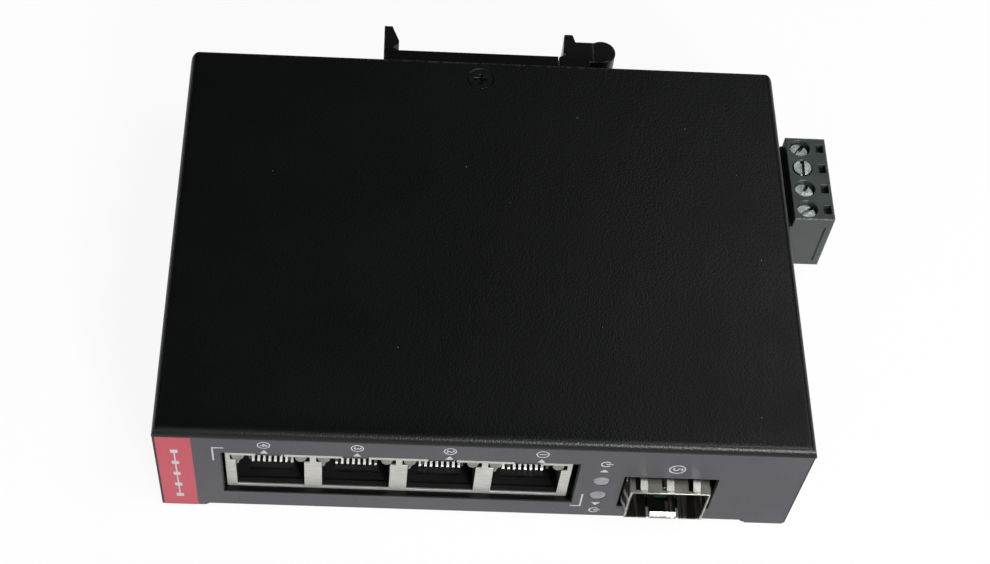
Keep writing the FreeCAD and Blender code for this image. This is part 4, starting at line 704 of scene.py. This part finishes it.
def make_cage_lip():
    """A plate that lies on the tongue in the cage's floor and rises towards the inside. The tongue is real; its
    bright tin finish, apart from the cage's nickel and its painted inside shade, is a painted highlight.
    """
    near, far = CAGE_LOW.y / MM + 0.5, CAGE_LOW.y / MM + 1.05
    level, rise, thick, half = CAGE_LOW.z / MM + 0.69, 0.39, 0.12, 2.35 * MM
    lip = [(near, level), (near, level + thick), (far, level + rise + thick), (far, level + rise)]
    middle = (CAGE_LOW.x + CAGE_HIGH.x) / 2
    outline = [(along * MM, up * MM) for along, up in lip]
    # The tongue's bright tin finish is a painted highlight
    mesh = slab("cage_tongue_highlight", [outline], middle - half, middle + half, axis=0)
    eased(new_piece("cage_tongue_highlight", mesh, TIN_FLASH, "case"), 0.02, 1)


def make_status_lenses():
    """Two round lenses with a shallow crown, one over the other."""
    low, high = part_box("status_lamps")
    face, back = FILM_LOW.y / MM, high.y / MM
    profile = [(0, face - 0.09), (0.7, face - 0.07), (1.2, face - 0.02), (1.46, face + 0.08),
               (1.46, face + 0.2), (1.3, face + 0.26), (1.3, back), (0, back)]
    across, radius = (low.x + high.x) / 2, (high.x - low.x) / 2
    lower, upper = low.z + radius, high.z - radius
    mesh = grown("status_lamp_lenses", turned("lamp_lens", profile, (across, lower)), ROWS, {
        "Count": 2, "Step": (0, 0, upper - lower), "Groups": 1, "Group step": (0, 0, 0), "Finish": STATUS})
    eased(new_piece("status_lamp_lenses", mesh, None, "case", ("status_lamps",)), 0.0)


def dress_cage():
    sheet = dressed("fibre_cage", "fibre_cage_sheet", CAGE, 0.05)
    rim = CAGE_LOW.y + 0.5 * MM
    shifted(sheet, lambda at: at.y < rim, (0, 0.25, 0))
    dressed("cage_fingers", "cage_spring_fingers", FINGERS, 0.03)
    dressed("fibre_connector", "fibre_socket", BLACK, 0.1)
    dressed("lamp_holder", "lamp_holder_block", BLACK, 0.12)
    make_cage_lip()
    make_status_lenses()


dress_cage()


def slim_shank(piece, node):
    """Leave air between a clamp screw's shank and its clamp's bore, whose flats differ."""
    low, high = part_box(node)
    middle = (low + high) / 2
    shank, slim = 1.55 * MM, 0.96
    for point in piece.data.vertices:
        aside = Vector((point.co.x - middle.x, point.co.y - middle.y))
        if aside.length < shank:
            point.co.x, point.co.y = middle.x + slim * aside.x, middle.y + slim * aside.y


def dress_terminal():
    dressed("terminal_header", "terminal_socket", TERMINAL, 0.15)
    dressed("terminal_plug", "terminal_plug_body", TERMINAL, 0.14)
    for number in range(1, 5):
        screw = dressed("clamp_screw_%d" % number, "clamp_screw_head_%d" % number, ZINC, 0.07)
        slim_shank(screw, "clamp_screw_%d" % number)
        painted("wire_clamp_%d" % number, ZINC)
    painted("header_pins", CONTACT)
    painted("plug_contacts", ZINC)


dress_terminal()


def make_latch_coil():
    """The spring behind the latch, as a fixed coil; the latch squashes the real spring when it is pulled."""
    low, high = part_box("latch_spring")
    wire = 0.2 * MM
    start = (low.x + wire, (low.y + high.y) / 2, (low.z + high.z) / 2)
    mesh = grown("latch_coil", path_mesh("coil_seed", [(0, 0, 0), (0, 0, MM)]), COIL, {
        "Radius": (high.z - low.z) / 2 - wire, "Wire": wire, "Length": high.x - low.x - 2 * wire,
        "Turns": 7.0, "Start": start, "Finish": ZINC})
    piece = eased(new_piece("latch_coil", mesh, None, "case", ("latch_spring",)), 0.0)
    piece.modifiers.clear()
    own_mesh(piece)


def dress_clip():
    dressed("clip_base", "rail_clip_base", CLIP, 0.2)
    dressed("rail_latch", "rail_clip_latch", CLIP, 0.22)
    dressed("clip_screws", "rail_clip_screws", BLACK_STEEL, 0.15)
    make_latch_coil()


dress_clip()


def make_board_screws():
    """A pan-head screw over each post that carries the board, turned about Y and then stood up."""
    low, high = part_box("circuit_board")
    inset = 3.9 * MM
    profile = [(0, 1.3), (0.9, 1.22), (1.6, 0.95), (2.0, 0.5), (2.0, -0.02), (0, -0.02)]
    step_x, step_y = high.x - low.x - 2 * inset, high.y - low.y - 2 * inset
    mesh = grown("board_screw_heads", turned("screw_head", profile, (0, 0)), ROWS, {
        "Count": 2, "Step": (step_x, 0, 0), "Groups": 2, "Group step": (0, 0, -step_y), "Finish": ZINC})
    stood_up = Matrix.Rotation(math.radians(90), 4, "X")
    mesh.transform(Matrix.Translation((low.x + inset, low.y + inset, high.z)) @ stood_up)
    eased(new_piece("board_screw_heads", mesh, None, "case"), 0.0)


def dress_board():
    for node, material in (("circuit_board", BOARD), ("board_posts", ZINC), ("switch_chip", RESIN),
                           ("isolation_transformers", RESIN), ("power_inductor", FERRITE),
                           ("capacitors", CAN), ("crystal", ZINC), ("voltage_regulator", RESIN),
                           ("fuse", CERAMIC)):
        painted(node, material)
    make_board_screws()


dress_board()


# Print on the panel's film; every mark lies on the film's face. Its places are in millimetres off
# the case's left end and the frame's floor.
INK = 0.03 * MM
INK_BACK = FILM_LOW.y + 0.01 * MM
INK_FACE = FILM_LOW.y - INK
PORT_MARKS, PORT_MARK_LEVEL = (19.2, 35.4, 51.5, 67.6), 23.75
CAGE_MARK, CAGE_MARK_LEVEL = 91.7, 19.9
LAMP_SIGNS = 79.0


def panel(x, z):
    """A place on the panel in metres."""
    return PANEL_LEFT + x * MM, z * MM


def panel_slab(name, outlines, back=INK_BACK, face=INK_FACE):
    return slab(name, [[panel(x, z) for x, z in outline] for outline in outlines], back, face)


def arc_points(x, z, radius, start, turn, steps):
    """Points along an arc that starts at an angle and goes on through a turn, in degrees."""
    angles = [math.radians(start + turn * i / steps) for i in range(steps + 1)]
    return [(x + radius * math.cos(angle), z + radius * math.sin(angle)) for angle in angles]


def ring_quads(x, z, radius, stroke, start=0.0, turn=360.0, steps=32):
    """A ring or an arc as a chain of quads that share their ends."""
    outer = arc_points(x, z, radius, start, turn, steps)
    inner = arc_points(x, z, radius - stroke, start, turn, steps)
    return [[outer[i], outer[i + 1], inner[i + 1], inner[i]] for i in range(steps)]


def rectangle(x, z, wide, tall):
    return [(x, z), (x + wide, z), (x + wide, z + tall), (x, z + tall)]


def marks(name, outlines, material=WHITE_INK):
    mesh = panel_slab(name, outlines)
    work = bmesh.new()
    work.from_mesh(mesh)
    bmesh.ops.remove_doubles(work, verts=work.verts, dist=0.001 * MM)
    work.to_mesh(mesh)
    work.free()
    return new_piece(name, mesh, material, "case")


def digit_mesh(text, x, z, tall):
    """A plain digit turned so that its head points along +X."""
    curve = bpy.data.curves.new("digit_" + text, "FONT")
    curve.body = text
    curve.size = tall * 1.4 * MM
    curve.extrude = INK / 2
    curve.align_x = "CENTER"
    curve.align_y = "CENTER"
    curve.offset = 0.02 * MM
    carrier = bpy.data.objects.new("digit_carrier", curve)
    bpy.context.scene.collection.objects.link(carrier)
    bpy.context.view_layer.update()
    mesh = bpy.data.meshes.new_from_object(carrier.evaluated_get(bpy.context.evaluated_depsgraph_get()))
    bpy.data.objects.remove(carrier)
    upright = Matrix.Rotation(math.radians(90), 4, "X")
    on_its_side = Matrix.Rotation(math.radians(90), 4, "Y")
    across, up = panel(x, z)
    mesh.transform(Matrix.Translation((across, INK_FACE + INK / 2, up)) @ on_its_side @ upright)
    return mesh


def print_digit(digit, x, z, tall):
    new_piece("port_number_" + digit, digit_mesh(digit, x, z, tall), WHITE_INK, "case")


def print_film():
    """Corner brackets, ringed port numbers, small pointers and the lamp signs."""
    line = 0.3
    marks("corner_brackets", [
        rectangle(10.1, 22.15, 2.1, line), rectangle(10.1, 17.75, line, 4.4),
        rectangle(74.45, 4.65, 1.95, line), rectangle(76.1, 4.95, line, 4.4)])
    rings = []
    for x in PORT_MARKS:
        rings += ring_quads(x, PORT_MARK_LEVEL, 1.15, 0.2)
        rings.append([(x - 0.7, 20.85), (x + 0.7, 20.85), (x, 22.0)])
    rings += ring_quads(CAGE_MARK, CAGE_MARK_LEVEL, 1.5, 0.24)
    marks("port_rings", rings)
    for digit, x in zip("4321", PORT_MARKS):
        print_digit(digit, x, PORT_MARK_LEVEL, 1.35)
    print_digit("5", CAGE_MARK, CAGE_MARK_LEVEL, 1.8)
    x = LAMP_SIGNS
    gap = {"start": 35, "turn": 290}
    marks("lamp_symbols", [
        [(x - 0.8, 18.0), (x + 0.8, 18.0), (x, 19.05)], [(x - 0.8, 6.35), (x, 5.3), (x + 0.8, 6.35)],
        *ring_quads(x, 20.95, 0.95, 0.24, **gap), rectangle(x, 20.83, 1.25, 0.26),
        *ring_quads(x, 3.35, 0.95, 0.24, **gap), rectangle(x - 0.05, 3.22, 1.2, 0.26)])


print_film()


def print_red_band():
    """Red band at the left end of the film, with a plain chain of white squares on it."""
    left, right = 0.5, 6.65
    low, high = FILM_LOW.z / MM + 0.02, FILM_HIGH.z / MM + 0.6
    marks("red_band", [rectangle(left, low, right - left, high - low)], RED)
    squares, first, pitch = 5, 4.2, 4.1
    links = []
    for i in range(squares):
        level = first + pitch * i
        links.append(rectangle(2.9, level - 0.55, 1.3, 1.1))
        if i:
            links.append(rectangle(3.42, level - 3.55, 0.26, 3.0))
    mesh = panel_slab("band_marks", links, INK_FACE + 0.01 * MM, INK_FACE - 0.02 * MM)
    new_piece("band_marks", mesh, WHITE_INK, "case")


print_red_band()


# Floor, light and camera

def white_seen(tree, shader, share):
    """Show a surface as plain white by a share, to the camera and in reflections and glass."""
    seen = add(tree, "ShaderNodeLightPath").outputs
    direct = maths(tree, "MAXIMUM", seen["Is Camera Ray"], seen["Is Glossy Ray"])
    direct = maths(tree, "MAXIMUM", direct, seen["Is Transmission Ray"])
    white = add(tree, "ShaderNodeEmission", None, Color=(1, 1, 1, 1), Strength=1.0)
    part = maths(tree, "MULTIPLY", direct, share)
    return add(tree, "ShaderNodeMixShader", None, Fac=part, i1=shader, i2=white.outputs[0]).outputs[0]


def make_floor():
    half, below = 3.0, -0.02 * MM
    corners = [(-half, -half, below), (half, -half, below), (half, half, below), (-half, half, below)]
    mesh = bpy.data.meshes.new("floor")
    mesh.from_pydata(corners, [], [(0, 1, 2, 3)])
    floor = bpy.data.objects.new("floor", mesh)
    bpy.context.scene.collection.objects.link(floor)
    material = bpy.data.materials.new("pale_floor")
    material.use_nodes = True
    tree = material.node_tree
    surface = tree.nodes["Principled BSDF"]
    surface.inputs["Base Color"].default_value = (0.86, 0.86, 0.86, 1)
    surface.inputs["Roughness"].default_value = 0.8
    surface.inputs["Specular IOR Level"].default_value = 0.2
    output = tree.nodes["Material Output"]
    link_in(tree, output.inputs["Surface"], white_seen(tree, surface.outputs[0], 0.92))
    mesh.materials.append(material)


def make_world():
    """A room that is bright in front of the case and dim behind it, seen as plain white."""
    world = bpy.data.worlds.new("studio")
    bpy.context.scene.world = world
    world.use_nodes = True
    tree = world.node_tree
    tree.nodes.clear()
    seen = add(tree, "ShaderNodeLightPath").outputs
    toward = parts_of(tree, add(tree, "ShaderNodeTexCoord").outputs["Generated"])
    front, back, bright, dim = -0.7, 0.25, 0.46, 0.03
    level = span(tree, toward["Y"], front, back, bright, dim)
    room = add(tree, "ShaderNodeBackground", None, Color=(0.95, 0.97, 1.0, 1), Strength=level)
    white = add(tree, "ShaderNodeBackground", None, Color=(1, 1, 1, 1), Strength=1.0)
    mix = add(tree, "ShaderNodeMixShader", None, Fac=seen["Is Camera Ray"],
              i1=room.outputs[0], i2=white.outputs[0])
    output = tree.nodes.new("ShaderNodeOutputWorld")
    link_in(tree, output.inputs["Surface"], mix.outputs[0])


# Name, place, aim, width of the disc in metres, and power in watts
LAMPS = (
    ("key", (0.58, -0.2, 1.05), (0, 0, 0), 0.5, 5.5),
    ("front", (0.34, -0.86, 0.50), (0.04, -0.04, 0.02), 0.34, 11),
    ("back", (0.38, 0.52, 0.85), (0.05, 0, 0.03), 0.25, 0.75),
    ("fill", (-0.85, -0.5, 0.75), (0, 0, 0.01), 0.8, 0.4),
)


def hang_lamp(name, at, aim, size, power):
    light = bpy.data.lights.new(name, "AREA")
    light.shape = "DISK"
    light.size = size
    light.energy = power
    item = bpy.data.objects.new(name, light)
    item.location = at
    item.rotation_euler = (Vector(aim) - Vector(at)).to_track_quat("-Z", "Y").to_euler()
    bpy.context.scene.collection.objects.link(item)


def make_camera():
    """The photograph's own view: focal length and middle in its pixels, worked out from the case."""
    photo_width, photo_height = 990, 564
    focal, middle_x, middle_y = 1755.5, 422.4, 334.3
    place, turn = (-0.02139, -0.18842, 0.29077), (32.353, -2.649, 0.716)
    data = bpy.data.cameras.new("photo_view")
    data.sensor_width = 36.0
    data.lens = focal / photo_width * data.sensor_width
    data.shift_x = (photo_width / 2 - middle_x) / photo_width
    data.shift_y = (middle_y - photo_height / 2) / photo_width
    data.clip_start = 0.01
    data.clip_end = 20
    camera = bpy.data.objects.new("photo_view", data)
    camera.location = place
    camera.rotation_euler = [math.radians(angle) for angle in turn]
    bpy.context.scene.collection.objects.link(camera)
    bpy.context.scene.camera = camera


make_floor()
make_world()
for settings in LAMPS:
    hang_lamp(*settings)
make_camera()
bpy.context.scene.view_settings.view_transform = "Standard"
